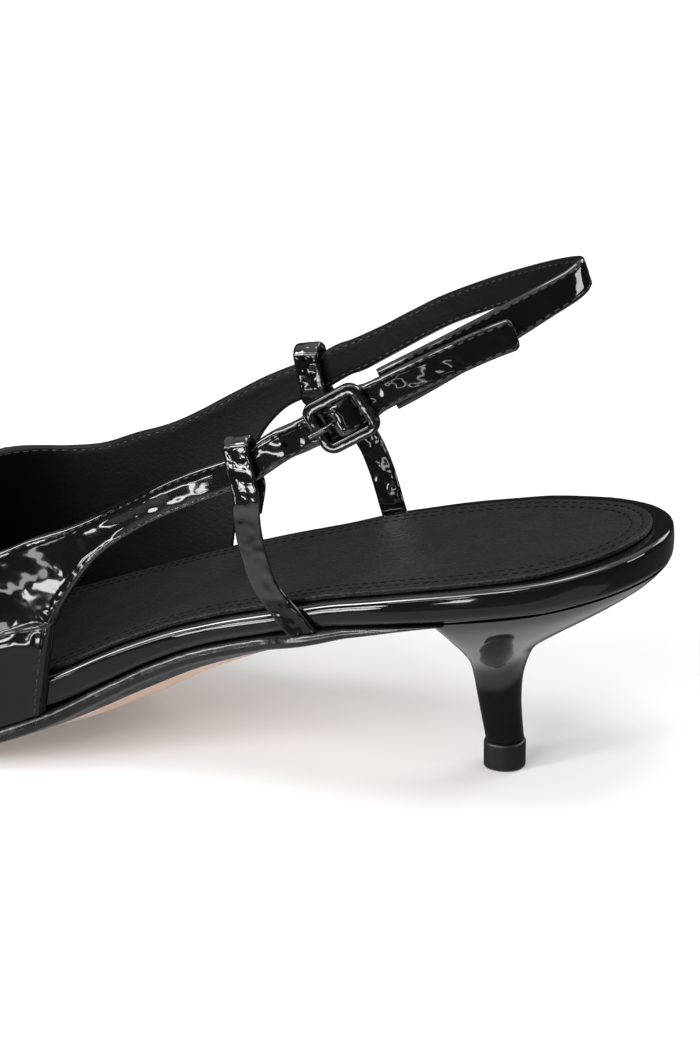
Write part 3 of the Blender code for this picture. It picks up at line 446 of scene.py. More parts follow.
# Looks: colour, roughness, its slow variation (scale of the noise, low and high), tint (scale, dark and
# light), coat, specular level, sheen, and bumps (scale, height in metres and detail)
LOOKS = {
    "lining_leather": {
        "colour": [0.0018] * 3,
        "roughness": 0.6,
        "specular": 0.25,
        "tint": (90.0, [0.0012] * 3, [0.0026] * 3),
        "bumps": [(900.0, 0.00012, 3.0), (2600.0, 0.00005, 2.0)],
    },
    "sock_leather": {
        "colour": (0.005, 0.005, 0.0053),
        "roughness": 0.45,
        "varied": (250.0, 0.38, 0.52),
        "specular": 0.22,
        "sheen": 0.03,
        "tint": (120.0, (0.0042, 0.0042, 0.0044), (0.0062, 0.0062, 0.0066)),
        "bumps": [(1100.0, 0.00034, 2.0), (420.0, 0.00010, 2.0), (2600.0, 0.00006, 2.0)],
    },
    "sole_edge_paint": {
        "colour": [0.006] * 3,
        "roughness": 0.22,
        "varied": (200.0, 0.18, 0.30),
        "bumps": [(160.0, 0.0006, 2.0), (900.0, 0.00005, 2.0)],
    },
    "sole_leather_under": {
        "colour": (0.60, 0.42, 0.33),
        "roughness": 0.38,
        "varied": (90.0, 0.32, 0.46),
        "tint": (60.0, (0.55, 0.375, 0.29), (0.66, 0.475, 0.385)),
        "bumps": [(700.0, 0.00006, 4.0), (120.0, 0.0003, 2.0)],
    },
    "tip_rubber": {
        "colour": [0.010] * 3,
        "roughness": 0.38,
        "varied": (300.0, 0.30, 0.48),
        "bumps": [(1200.0, 0.00008, 3.0)],
    },
    "black_enamel": {
        "colour": [0.004] * 3,
        "roughness": 0.10,
        "varied": (400.0, 0.06, 0.13),
        "coat": 0.5,
        "bumps": [(300.0, 0.0001, 2.0)],
    },
    "black_thread": {
        "colour": (0.018, 0.018, 0.019),
        "roughness": 0.32,
        "tint": (900.0, [0.012] * 3, (0.03, 0.03, 0.032)),
        "bumps": [(3000.0, 0.0001, 2.0)],
    },
    "sock_thread": {
        "colour": [0.0015] * 3,
        "roughness": 0.6,
        "specular": 0.08,
        "tint": (900.0, [0.001] * 3, [0.002] * 3),
        "bumps": [(3000.0, 0.0001, 2.0)],
    },
}
FLOOR = {
    "colour": [0.67] * 3,
    "roughness": 0.8,
    "specular": 0.0,
}
PATENT = {
    "colour": (0.0035, 0.0035, 0.004),
    "roughness": 0.12,
    "varied": (60.0, 0.05, 0.10),
    "coat": 0.6,
}
PATENT_BUMPS = [            # scale, height, power of the crinkle in it, and detail
    (60.0, 0.0011, 1, 0.0),
    (240.0, 0.00022, 2, 1.0),
]
CRINKLES = {                # how much the patent leather of each piece crinkles
    "upper": 0.85,
    "board": 0.25,
    "heel": 0.2,
    "sling": 0.8,
    "front": 1.3,
    "tab": 1.0,
    "keeper_outer": 1.5,
    "keeper_inner": 1.5,
}
COAT_ROUGHNESS = 0.02
VARIED_SPAN = (0.3, 0.7)    # stretch of the noise that is spread over a variation, and over a tint
VARIED_DETAIL = 4.0
TINT_SPAN = (0.35, 0.65)
TINT_DETAIL = 5.0

# Camera, from the photograph
CAMERA_YAW = radians(19.5)
CAMERA_TILT = radians(24.0)
CAMERA_DISTANCE = 1.2
CAMERA_LENS = 189.26
SENSOR_HEIGHT = 36.0
CLIP_START = 0.05
PHOTO_WIDTH = 700
PHOTO_HEIGHT = 1050
ORIGIN_PIXEL = (505, 764)

# Floor and surroundings: brightness by height, from 0 straight below to 1 straight above
FLOOR_SIZE = 6.0
FLOOR_GLOW = 0.14
SKY_TINT = 1.01             # blue of each step between the ends, as a share of its grey
SKY_ENDS = (0.62, 1.0)
SKY = [
    (0.15, 0.50),
    (0.22, 0.10),
    (0.33, 0.08),
    (0.40, 0.03),
    (0.715, 0.03),
    (0.78, 0.35),
    (0.87, 0.85),
]

# Softboxes: name, place, target, size and power in watts
LIGHTS = [
    ("top_box", (0.10, 0.10, 1.30), (0.06, 0.0, 0.0), (0.7, 0.5), 7.0),
    ("front_box", (0.45, 0.95, 0.66), (0.06, 0.0, 0.05), (0.9, 0.34), 9.0),
    ("front_strip", (0.43, 1.10, 0.13), (0.06, 0.0, 0.07), (0.35, 0.08), 0.42),
    ("saddle_card", (0.155, 0.55, 0.024), (0.097, 0.035, 0.038), (0.07, 0.035), 0.09),
    ("rear_card", (-0.47, 0.02, 0.16), (-0.016, 0.003, 0.114), (0.16, 0.12), 0.45),
    ("side_card", (0.0, 0.088, 0.002), (0.0, 0.088, 1.0), (0.26, 0.075), 0.0165),
    ("band_card", (0.112, 0.152, 0.004), (0.112, 0.152, 1.0), (0.052, 0.019), 0.037),
    ("keeper_card", (0.109, 0.190, 0.004), (0.109, 0.190, 1.0), (0.016, 0.030), 0.018),
    ("strap_card", (0.041, 0.200, 0.004), (0.041, 0.200, 1.0), (0.030, 0.040), 0.040),
    ("tail_card", (-0.09, 0.40, 0.004), (-0.09, 0.40, 1.0), (0.12, 0.03), 0.055),
    ("side_strip", (0.90, 0.90, 0.55), (0.06, 0.0, 0.05), (0.25, 0.9), 10.0),
    ("back_box", (-0.60, -1.00, 0.80), (0.06, 0.0, 0.05), (0.9, 0.6), 8.0),
]


@lru_cache(maxsize=None)
def slopes(xs, ys):
    """Slopes of a smooth curve through the points that never overshoots them."""
    steps = [b - a for a, b in zip(xs, xs[1:])]
    rates = [(b - a) / step for a, b, step in zip(ys, ys[1:], steps)]
    result = [0.0] * len(ys)
    for i in range(1, len(xs) - 1):
        if rates[i - 1] * rates[i] > 0:
            left = 2 * steps[i] + steps[i - 1]
            right = steps[i] + 2 * steps[i - 1]
            result[i] = (left + right) / (left / rates[i - 1] + right / rates[i])
    result[0] = rates[0]
    result[-1] = rates[-1]
    return result


def smooth(xs, ys, x):
    """Value at x of the smooth curve through the points."""
    xs = tuple(xs)
    ys = tuple(ys)
    x = min(max(x, xs[0]), xs[-1])
    i = min(bisect_right(xs, x) - 1, len(xs) - 2)
    step = xs[i + 1] - xs[i]
    t = (x - xs[i]) / step
    slope = slopes(xs, ys)
    start = (2 * t**3 - 3 * t**2 + 1) * ys[i] + (t**3 - 2 * t**2 + t) * step * slope[i]
    end = (3 * t**2 - 2 * t**3) * ys[i + 1] + (t**3 - t**2) * step * slope[i + 1]
    return start + end


def column(table, index, station):
    """Value of a table's column at a station."""
    return smooth([row[0] for row in table], [row[index] for row in table], station)


def through(points, steps):
    """Points of a Catmull-Rom curve through a list of points, with a number of steps for each."""
    points = np.asarray(points, float)
    padded = np.vstack([2 * points[0] - points[1], points, 2 * points[-1] - points[-2]])
    result = []
    for i in range(1, len(padded) - 2):
        before, a, b, after = padded[i - 1:i + 3]
        for k in range(steps):
            t = k / steps
            result.append(0.5 * (2 * a + (b - before) * t
                                 + (2 * before - 5 * a + 4 * b - after) * t**2
                                 + (3 * a - before - 3 * b + after) * t**3))
    result.append(points[-1])
    return result


def station_of(x):
    """Station, as a share of the length, of a distance in front of the origin."""
    return (x - BACK) / LENGTH


def round_column(table, index, station):
    """Value of a table's column at a station. Squares are joined, so that its ends come out round."""
    return sqrt(max(0.0, smooth([row[0] for row in table], [row[index] ** 2 for row in table], station)))


def half_width(side, station):
    """Half-width of the footbed."""
    widths = [(row[0], row[1] * row[2 if side > 0 else 3]) for row in PLAN]
    return round_column(widths, 1, station)


def edge(station, side, out):
    """Plan position of the footbed's edge moved outwards."""
    x = BACK - out + station * (LENGTH + out + out * POINT_REACH)
    return x, side * half_width(side, station) * (1 + out / HALF_SEAT)


def sole_bottom(x):
    """Height of the sole's lower edge above the floor."""
    station = station_of(x)
    return SEAT_HEIGHT * column(PROFILE, 1, station) + TOE_SPRING * column(PROFILE, 2, station)


def feather(x):
    """Height of the sole's upper edge, which the footbed, upper and keepers stand on."""
    return sole_bottom(x) + SOLE_EDGE * column(PROFILE, 3, station_of(x))


def board_top(x):
    """Height of the footbed's face."""
    return feather(x) + GAP + BOARD_EDGE * column(PROFILE, 4, station_of(x))


def sole_swell(station, side):
    """Rounded bump of the sole's edge where a keeper passes under the footbed."""
    foot = next(row[2] for row in KEEPERS if row[1] == side)
    distance = abs(station - foot) * LENGTH / (SWELL_REACH * KEEPER_WIDTH)
    return SOLE_SWELL * cos(pi / 2 * distance) if distance < 1 else 0.0


def board_reach(station):
    """The footbed draws in from the upper towards the toe."""
    return -TOE_DRAW * max(0.0, (station - DRAW_START) / DRAW_LENGTH)


def upper_point(station, rise, side, depth):
    """Point of the upper's wall: share of the way up its section, and depth below its surface."""
    x, y = edge(station, side, GAP + UPPER_WALL - depth)
    foot = np.array([x, y, feather(x) + GAP])
    width = abs(y)
    reach = BALL_WIDTH / 2 * (1.0 if side > 0 else INNER_OPENING)
    opening = reach * round_column(TOPLINE, 2, station) if station < THROAT else 0.0
    height = UPPER_HEIGHT * round_column(TOPLINE, 1, station)
    lean = min(1.0, opening / max(width, 0.0001))
    height = max(0.0, height - depth * (1 - lean) * min(1.0, height / THIN_HEIGHT))
    top = foot + (0, 0, height)
    top[1] = side * max(0.0, opening - depth * lean) if opening else 0.0
    low = foot + (0, side * FULLNESS * width, LOW_HANDLE * height)
    high = top + (0, side * HIGH_HANDLE[0] * width * (1 - lean), -HIGH_HANDLE[1] * height * lean)
    back = 1 - rise
    return back**3 * foot + 3 * back**2 * rise * low + 3 * back * rise**2 * high + rise**3 * top


def signed_power(value, power):
    """Power of a number's size, with the number's sign."""
    return abs(value) ** power * (1 if value >= 0 else -1)


def heel_plan(angle, back, half, front, squareness):
    """Section of the heel in plan: round behind, squarer in front, about its own centre."""
    c = cos(angle)
    s = sin(angle)
    if c < 0:
        return back * c, half * s
    power = 2 / squareness
    return front * signed_power(c, power), half * signed_power(s, power)


def unit(vector):
    """Direction of a vector."""
    return vector / np.linalg.norm(vector)


def chord(points, k):
    """Step from the point before one point of a line to the point after it."""
    return points[min(k + 1, len(points) - 1)] - points[max(k - 1, 0)]


def frames(points, hints):
    """Direction, width direction and outward direction at each point of a strap."""
    result = []
    for k, hint in enumerate(hints):
        along = unit(chord(points, k))
        across = unit(hint - along * np.dot(hint, along))
        result.append((along, across, np.cross(along, across)))
    return result


def hanging(points, leans):
    """Downward hints for a strap on edge, leaning outwards at its lower edge by some degrees."""
    result = []
    for k, point in enumerate(points):
        level = unit(chord(points, k) * (1.0, 1.0, 0.0))
        out = np.array([level[1], -level[0], 0.0])
        if np.dot(out, [point[0] - STRAPS_MIDDLE, point[1], 0.0]) < 0:
            out = -out
        result.append(out * sin(radians(leans[k])) + np.array([0.0, 0.0, -cos(radians(leans[k]))]))
    return result


def strap_line(table, steps, start):
    """Middle line of a strap from its start through its table, with the other columns beside it."""
    rows = [[*start, *table[0][3:]]]
    rows += [[*(np.array(row[:3]) * STRAP_SCALE), *row[3:]] for row in table]
    rows = through(rows, steps)
    return [np.array(row[:3]) for row in rows], [row[3:] for row in rows]


def band_middle(side):
    """Middle of the wing's rear end, between its edges and between its faces."""
    top, low, rise, _ = line_rows(side, [0])[0]
    corners = [upper_point(top, 1.0, side, depth) for depth in (-PANEL_STEP, UPPER_WALL)]
    corners += [upper_point(low, rise, side, depth) for depth in (-PANEL_STEP, UPPER_WALL)]
    return sum(corners) / 4


def strap_start(side, table):
    """The strap begins just behind the wing's end, inside the keeper's loop."""
    middle = band_middle(side)
    along = unit(np.array(table[0][:3]) * STRAP_SCALE - middle)
    return middle + along * 3 * GAP


def buckle_frame():
    """Place and directions of the buckle: middle of the strap there, along, across, outwards."""
    points, rest = strap_line(FRONT_STRAP, PART_FRONT_STEPS, strap_start(1, FRONT_STRAP))
    hints = hanging(points, [row[0] for row in rest])
    centre = BUCKLE_STATION * HEEL_OVERHANG
    k = min(range(len(points)), key=lambda i: abs(points[i][0] - centre))
    along, across, out = frames(points, hints)[k]
    return points[k], along, across, out * (1 if out[1] > 0 else -1)


def strap_rise(distance):
    """How far the strap rises towards the centre bar, at a distance along it."""
    room = BUCKLE_LENGTH / 2 - BUCKLE_BAR
    return STRAP_BULGE * cos(pi / 2 * distance / room) ** 2 if abs(distance) < room else 0.0


def keeper_line(side, foot, loop, *leg):
    """Middle line of a keeper: from the sole's edge up, round the band and down inside it."""
    half = KEEPER_THICKNESS / 2
    middle = band_middle(side)
    outer = max(abs(upper_point(loop, rise, side, -PANEL_STEP)[1]) for rise in (0.8, 1))
    inner = min(abs(upper_point(loop, rise, side, UPPER_WALL)[1]) for rise in (0.8, 1))
    outer += LOOP_CLEARANCE + half
    inner -= LOOP_CLEARANCE + half
    radius = (outer - inner) / 2
    reach = BAND_WIDTH / 2 + LOOP_ROOM
    lean = np.array([sin(KEEPER_TILT), 0.0, cos(KEEPER_TILT)])
    low = np.array([middle[0], 0.0, middle[2]]) - lean * reach
    x, y = edge(foot, side, 2 * GAP + half)
    y = abs(y)
    bottom = feather(x) + GAP
    knee = (board_top(x) - bottom) / (low[2] - bottom)
    points = []
    for share in [0.0, *(knee + (1 - knee) * k / KEEPER_LEG for k in range(KEEPER_LEG + 1))]:
        run = smooth([0.0, leg[0], leg[2], 1.0], [0.0, leg[1], leg[3], 1.0], share)
        spread = max(0.0, (share - knee) / (1 - knee))
        place = (x + (low[0] - x) * run, y + (outer - y) * spread, bottom + (low[2] - bottom) * share)
        points.append(np.array(place))
    crown = low + lean * 2 * reach
    for k in range(LOOP_STEPS + 1):
        angle = pi * k / LOOP_STEPS
        points.append(crown + lean * radius * sin(angle) + (0, inner + radius * (1 + cos(angle)), 0))
    points.append(low + lean * 0.5 * reach + (0, inner, 0))
    points.append(low + (0, inner + 0.15 * radius, 0))
    down = unit(points[KEEPER_LEG + 1] - points[KEEPER_LEG])
    points.append(points[KEEPER_LEG + 1] - down * KEEPER_LAP - (0, KEEPER_THICKNESS + GAP, 0))
    return [point * (1, side, 1) for point in points]


def wing_table(side):
    """Rows of one side's lines across the upper, and which of them is the first with a foot."""
    table = (OUTER_WING if side > 0 else INNER_WING) + VAMP_LINES
    return table, next(i for i, row in enumerate(table) if row[3])


def line_rows(side, places):
    """Rows of one side's lines across the upper at given places, counted in rows of its table."""
    table, first = wing_table(side)
    rows = [list(row) for row in table]
    for row in rows[:first]:
        row[3] = row[1]
    index = range(len(rows))
    return [[smooth(index, [row[c] for row in rows], place) for c in range(4)] for place in places]


def mesh_piece(name, bm, look_names, node=None, slot="patent", sharp=60.0):
    """Weld a mesh, add it to the scene with its materials, and let it stand for a node."""
    bmesh.ops.remove_doubles(bm, verts=bm.verts, dist=WELD)
    bmesh.ops.dissolve_degenerate(bm, edges=bm.edges, dist=SLIVER)
    bmesh.ops.recalc_face_normals(bm, faces=bm.faces)
    mesh = bpy.data.meshes.new(name)
    bm.to_mesh(mesh)
    bm.free()
    mesh.shade_smooth()
    mesh.set_sharp_from_angle(angle=radians(sharp))
    for look in look_names:
        mesh.materials.append(looks[look])
    piece = bpy.data.objects.new(name, mesh)
    bpy.context.scene.collection.objects.link(piece)
    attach(piece, "root")
    if node:
        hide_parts(node)
    return piece


def grid_faces(bm, grid, look=0, closed=False):
    """Faces over a grid of points, with one material."""
    rows, columns = grid.shape[:2]
    verts = [[bm.verts.new(point) for point in row] for row in grid]
    for i in range(rows - 1):
        for k in range(columns if closed else columns - 1):
            after = (k + 1) % columns
            face = bm.faces.new((verts[i][k], verts[i][after], verts[i + 1][after], verts[i + 1][k]))
            face.material_index = look
    return verts


def closed_grid(bm, rings):
    """Closed skin over rings of points, with a face at both ends."""
    verts = grid_faces(bm, np.array(rings), closed=True)
    bm.faces.new(verts[0])
    bm.faces.new(verts[-1][::-1])
    return verts


def ring_piece(name, rings, *rest, **options):
    """Piece with a closed skin over rings of points."""
    bm = bmesh.new()
    closed_grid(bm, rings)
    return mesh_piece(name, bm, *rest, **options)


def grid_normals(grid, outward):
    """Unit normals of a grid of points, on the side of an outward direction."""
    along = np.gradient(grid, axis=0)
    across = np.gradient(grid, axis=1)
    normals = np.cross(along, across)
    normals /= np.maximum(np.linalg.norm(normals, axis=2, keepdims=True), TINY)
    flip = np.sign(np.sum(normals * outward, axis=2, keepdims=True))
    flip[flip == 0] = 1
    return normals * flip


def lengths(line):
    """Distance along a line of points at each of them."""
    steps = np.linalg.norm(np.diff(line, axis=0), axis=1)
    return np.concatenate([[0.0], np.cumsum(steps)])


def at(place, along, line):
    """Point of a line at a distance along it."""
    return np.array([np.interp(place, along, line[:, c]) for c in range(3)])


def nearest(points, line):
    """Distance of each point to a line of points, and how far along the line the nearest place is."""
    flat = points.reshape(-1, 3)
    start = line[:-1]
    step = line[1:] - start
    size = np.maximum(np.sum(step * step, axis=1), TINY)
    share = np.einsum("nmk,mk->nm", flat[:, None] - start[None], step) / size
    share = np.clip(share, 0.0, 1.0)
    gap = np.linalg.norm(flat[:, None] - (start[None] + share[..., None] * step[None]), axis=2)
    best = gap.argmin(axis=1)
    rows = np.arange(len(flat))
    place = lengths(line)[best] + share[rows, best] * np.sqrt(size[best])
    return gap[rows, best].reshape(points.shape[:2]), place.reshape(points.shape[:2])


def rim(distance, radius):
    """1 at an edge, falling to 0 along a quarter circle."""
    inside = np.clip(distance / radius, 0.0, 1.0)
    return 1 - np.sqrt(np.maximum(0.0, 1 - (1 - inside) ** 2))


def waves(points, layers):
    """Smooth unevenness at each point, the sum of several noises."""
    total = 0.0
    for height, size, seed in layers:
        offset = Vector((seed, 2.0 * seed, -seed))
        values = [noise.noise(Vector(point) / size + offset) for point in points.reshape(-1, 3)]
        total = total + height * np.array(values).reshape(points.shape[:-1])
    return total


def stitch_groove(distance, place, inset=STITCH_INSET):
    """Relief of a stitched line: a trough at the stitches, pulled deeper at each hole."""
    trough = np.exp(-(((distance - inset) / GROOVE_WIDTH) ** 2))
    pull = 1 - GROOVE_PULL + GROOVE_PULL * np.cos(2 * pi * place / STITCH_PITCH)
    puff = np.exp(-(((distance - inset - PUFF_PLACE) / PUFF_WIDTH) ** 2))
    return -GROOVE_DEPTH * trough * pull + PUFF_RISE * GROOVE_DEPTH * puff


def eased(count):
    """Shares from 0 to 1, closer together at both ends."""
    return [0.5 - 0.5 * cos(pi * k / count) for k in range(count + 1)]


def edge_shares(length):
    """Shares from one end of a line to the other, with fixed small steps at both ends."""
    limit = EDGE_LIMIT * length
    start = [min(offset, limit * k / len(EDGE_STEPS)) for k, offset in enumerate(EDGE_STEPS)]
    middle = np.linspace(start[-1], length - start[-1], MIDDLE_STEPS + 2)[1:-1]
    return [value / length for value in (*start, *middle, *(length - value for value in start[::-1]))]


def stitches(name, paths, look):
    """Thread laid as separate stitches along lines of points with their normals, as one mesh."""
    bm = bmesh.new()
    for line, out in paths:
        line = np.asarray(line)
        out = np.asarray(out)
        along = lengths(line)
        count = max(1, int(along[-1] / STITCH_PITCH))
        for k in range(count):
            start, end = [at((k + share) * along[-1] / count, along, line) for share in STITCH_ENDS]
            stitch(bm, start, end, unit(at((k + 0.5) * along[-1] / count, along, out)))
    return mesh_piece(name, bm, [look], sharp=80)


def stitch(bm, start, end, normal):
    """One stitch: a plump bar that dips into the leather at both ends."""
    along = unit(end - start)
    across = np.cross(normal, along)
    size = np.linalg.norm(end - start)
    rings = []
    for share, width, rise in STITCH_SHAPE:
        centre = start + along * size * share + normal * rise * THREAD
        ring = []
        for k in range(THREAD_SIDES):
            angle = 2 * pi * k / THREAD_SIDES
            place = across * cos(angle) + normal * THREAD_HEIGHT * sin(angle)
            ring.append(centre + place * THREAD / 2 * width)
        rings.append(ring)
    closed_grid(bm, rings)


def creases(points, side):
    """Soft troughs and ridges of the worn-in leather, placed one by one."""
    total = np.zeros(points.shape[:2])
    for crease_side, start, end, width, height in CREASES:
        if crease_side != side:
            continue
        line = np.array([start, end])
        distance, place = nearest(points[..., [0, 2, 1]] * (1, 1, 0), line)
        span = np.linalg.norm(line[1] - line[0])
        taper = np.clip(np.minimum(place, span - place) / (CREASE_TAPER * span), 0.0, 1.0)
        total += height * np.exp(-((distance / width) ** 2)) * taper
    return total


def upper_grid(side, rows, shares, panel, depth):
    """Grid of the upper's wall over its lines, on the saddle panel or on the vamp below it."""
    grid = []
    for (top, seam, rise, foot), row_shares in zip(rows, shares):
        low, high, start, end = (seam, top, rise, 1) if panel else (foot, seam, 0, rise)
        grid.append([upper_point(low + (high - low) * t, start + (end - start) * t, side, depth)
                     for t in row_shares])
    return np.array(grid)


def even_out(grid, rounds):
    """Fair a grid by moving inner points towards the middle of their neighbours along each line."""
    grid = grid.copy()
    for _ in range(rounds):
        before = np.linalg.norm(grid[1:-1] - grid[:-2], axis=2, keepdims=True)
        after = np.linalg.norm(grid[2:] - grid[1:-1], axis=2, keepdims=True)
        share = before / np.maximum(before + after, TINY)
        middle = grid[:-2] * (1 - share) + grid[2:] * share
        grid[1:-1] += 0.5 * (middle - grid[1:-1])
    return grid


def leather_relief(grid, side, edges, cut_edge, seam=None, first_line=0):
    """Relief of one face of the upper, and how far each point has turned into its rounded edges."""
    relief = np.zeros(grid.shape[:2])
    rounding = np.zeros(grid.shape[:2])
    for line in (*edges, cut_edge):
        distance, place = nearest(grid, line)
        if line is cut_edge:
            relief += stitch_groove(distance, place, FOLD_STITCH)
            relief += FOLD_RISE * np.exp(-((distance / (FOLD_SPAN * FOLD)) ** FOLD_POWER))
        else:
            relief += stitch_groove(distance, place)
        np.maximum(rounding, rim(distance, EDGE_ROUND), out=rounding)
    if seam is not None:
        distance, place = nearest(grid, seam)
        distance[:first_line] = 1.0
        relief += stitch_groove(distance, place)
    calm = 1 - rounding
    relief += calm * waves(grid, UPPER_WAVES)
    relief += calm * creases(grid, side)
    return (relief * calm)[..., None], rounding[..., None]


def upper_side(side):
    """Fine grids of one side of the upper, and the lines that its stitches follow."""
    table, first = wing_table(side)
    throat = next(i for i, row in enumerate(table) if row[0] == THROAT)
    closed = next(i for i, row in enumerate(table) if row[2] == 1)
    places = {round(k / FINE_LINES, 4) for k in range((len(table) - 1) * FINE_LINES + 1)}
    places |= {round(first + offset / ROW_PITCH, 4) for offset in EDGE_STEPS}
    places = sorted(places)
    rows = line_rows(side, places)
    first_line, throat_line, closed_line = [places.index(place) for place in (first, throat, closed)]
    panel_rows = rows[:closed_line + 1]
    vamp_rows = rows[first_line:]
    panel_shares = []
    for top, seam, rise, _ in panel_rows:
        size = np.linalg.norm(upper_point(top, 1.0, side, 0.0) - upper_point(seam, rise, side, 0.0))
        panel_shares.append(edge_shares(max(SHORT_LINE, size)))
    vamp_shares = [eased(VAMP_FINE)] * len(vamp_rows)
    depths = (-PANEL_STEP, 0.0, UPPER_WALL)
    proud, level, inside = [upper_grid(side, panel_rows, panel_shares, True, depth) for depth in depths]
    vamp, vamp_inside = [upper_grid(side, vamp_rows, vamp_shares, False, depth) for depth in depths[1:]]

    seam_distance = np.array([[t * np.linalg.norm(row[-1] - row[0]) for t in shares]
                              for row, shares in zip(level, panel_shares)])
    step = rim(seam_distance, PANEL_ROUND)
    step[:first_line] = 0
    outside = proud + (level - proud) * step[..., None]
    outward = np.array([0.0, side, SIDE_LEAN])
    normals = grid_normals(outside, outward)
    vamp_normals = grid_normals(vamp, outward)
    inside_normals = grid_normals(inside, -outward)
    edges = [proud[:throat_line + 1, -1], proud[:first_line + 1, 0]]
    cut_edge = np.concatenate([vamp[0], proud[first_line, :1]])
    relief, rounding = leather_relief(outside, side, edges, cut_edge, level[first_line:, 0], first_line)
    vamp_relief, vamp_rounding = leather_relief(vamp, side, edges, cut_edge)
    distance, place = nearest(inside, inside[:throat_line + 1, -1])
    inside_relief = stitch_groove(distance, place)[..., None] * (1 - rounding)

    skin = outside + normals * relief
    panel_out = skin + (inside - skin) * (0.5 * rounding)
    panel_in = inside + inside_normals * inside_relief + (skin - inside) * (0.5 * rounding)
    vamp_skin = vamp + vamp_normals * vamp_relief
    vamp_out = vamp_skin + (vamp_inside - vamp_skin) * (0.5 * vamp_rounding)
    vamp_in = vamp_inside + (vamp_skin - vamp_inside) * (0.5 * vamp_rounding)
    join = len(panel_rows) - first_line
    vamp_out[:join, -1] = panel_out[first_line:, 0]
    vamp_in[:join, -1] = panel_in[first_line:, 0]
    paths = stitch_paths(panel_out, normals, panel_shares, first_line, throat_line, level)
    paths.append(stitch_paths(panel_in, inside_normals, panel_shares, first_line, throat_line, inside)[0])
    paths.append(cut_path(vamp_out, vamp_normals))
    return panel_out, panel_in, vamp_out, vamp_in, paths


def stitch_paths(grid, normals, shares, first_line, throat_line, level):
    """Lines just inside the panel's top edge, the band's lower edge and the seam."""
    paths = []
    runs = ((0, throat_line, True), (0, first_line, False), (first_line, len(grid) - SEAM_STOP, False))
    for begin, end, from_top in runs:
        line = []
        out = []
        for k in range(begin, end + 1):
            size = np.linalg.norm(level[k][-1] - level[k][0])
            if size < 3 * STITCH_INSET:
                continue
            share = STITCH_INSET / size
            share = 1 - share if from_top else share
            line.append(at(share, shares[k], grid[k]))
            out.append(at(share, shares[k], normals[k]))
        paths.append((line, out))
    return paths


def cut_path(grid, normals):
    """Line just inside the front edge of the cut-out."""
    line = []
    out = []
    for k in range(grid.shape[1]):
        along = lengths(grid[:CUT_REACH, k])
        line.append(at(FOLD_STITCH, along, grid[:CUT_REACH, k]))
        out.append(at(FOLD_STITCH, along, normals[:CUT_REACH, k]))
    return line, out


def make_upper():
    """Pointed vamp with its raised saddle panel and open wings: patent outside, lining inside."""
    bm = bmesh.new()
    paths = []
    for side in (1, -1):
        panel_out, panel_in, vamp_out, vamp_in, side_paths = upper_side(side)
        grid_faces(bm, panel_out)
        grid_faces(bm, vamp_out)
        grid_faces(bm, panel_in, 1)
        grid_faces(bm, vamp_in, 1)
        grid_faces(bm, np.array([panel_out[0], panel_in[0]]))
        grid_faces(bm, np.array([vamp_out[:, 0], vamp_in[:, 0]]), 1)
        paths += side_paths
    mesh_piece("upper_leather", bm, ["patent_upper", "lining_leather"], "upper")
    stitches("upper_stitching", paths, "black_thread")


def fine_stations(first, last, round_first, round_last, middle):
    """Stations along the shoe, closer together over the round ends."""
    start = first + round_first
    stop = last - round_last
    turns = [pi / 2 * k / ROUND_STEPS for k in range(ROUND_STEPS + 1)]
    result = [first + round_first * (1 - cos(turn)) for turn in turns[:-1] if round_first]
    result += [start + (stop - start) * k / middle for k in range(middle + 1)]
    return result + [stop + round_last * sin(turn) for turn in turns[1:] if round_last]


def cross_shares(width, margin):
    """Shares across a plate, with even steps on a margin at both sides and between them."""
    start = min(NEAR_LIMIT, margin / width)
    near = [start * k / NEAR for k in range(1, NEAR + 1)]
    count = ACROSS - 2 * NEAR
    return near + [start + (1 - 2 * start) * k / count for k in range(1, count)] + [1 - t for t in near[::-1]]


def fine_section(station, sides, camber=0.0, spread=None):
    """Closed section across a flat piece: outer side, top, inner side, underside."""
    halves = []
    for side in (1, -1):
        points = []
        for out, height in sides:
            x, y = edge(station, side, out)
            y += side * (spread(station, side) if spread else 0.0)
            points.append(np.array([x, y, height(x)]))
        halves.append(points)
    outer, inner = halves
    section = outer + [outer[-1] + (inner[-1] - outer[-1]) * t for t in eased(ACROSS)[1:-1]] + inner[::-1]
    for t in cross_shares(np.linalg.norm(outer[0] - inner[0]), PAINT_REACH):
        point = inner[0] + (outer[0] - inner[0]) * t
        point[2] -= camber * (1 - (2 * t - 1) ** CAMBER_POWER)
        section.append(point)
    return section


def rolled_side(reach, low, high, low_round, high_round):
    """Side of a plate as offsets and heights, with rounded lower and upper edges."""
    sides = []
    for k in range(LOW_ROLL + 1):
        angle = pi / 2 * k / LOW_ROLL
        sides.append((reach - low_round * (1 - sin(angle)),
                      lambda x, a=angle: low(x) + low_round * (1 - cos(a))))
    for share in SIDE_SHARES:
        sides.append((reach + SIDE_BULGE * sin(pi * share),
                      lambda x, s=share: low(x) + low_round
                      + (high(x) - high_round - low(x) - low_round) * s))
    for k in range(HIGH_ROLL + 1):
        angle = pi / 2 * k / HIGH_ROLL
        sides.append((reach - high_round * (1 - cos(angle)),
                      lambda x, a=angle: high(x) - high_round * (1 - sin(a))))
    return sides


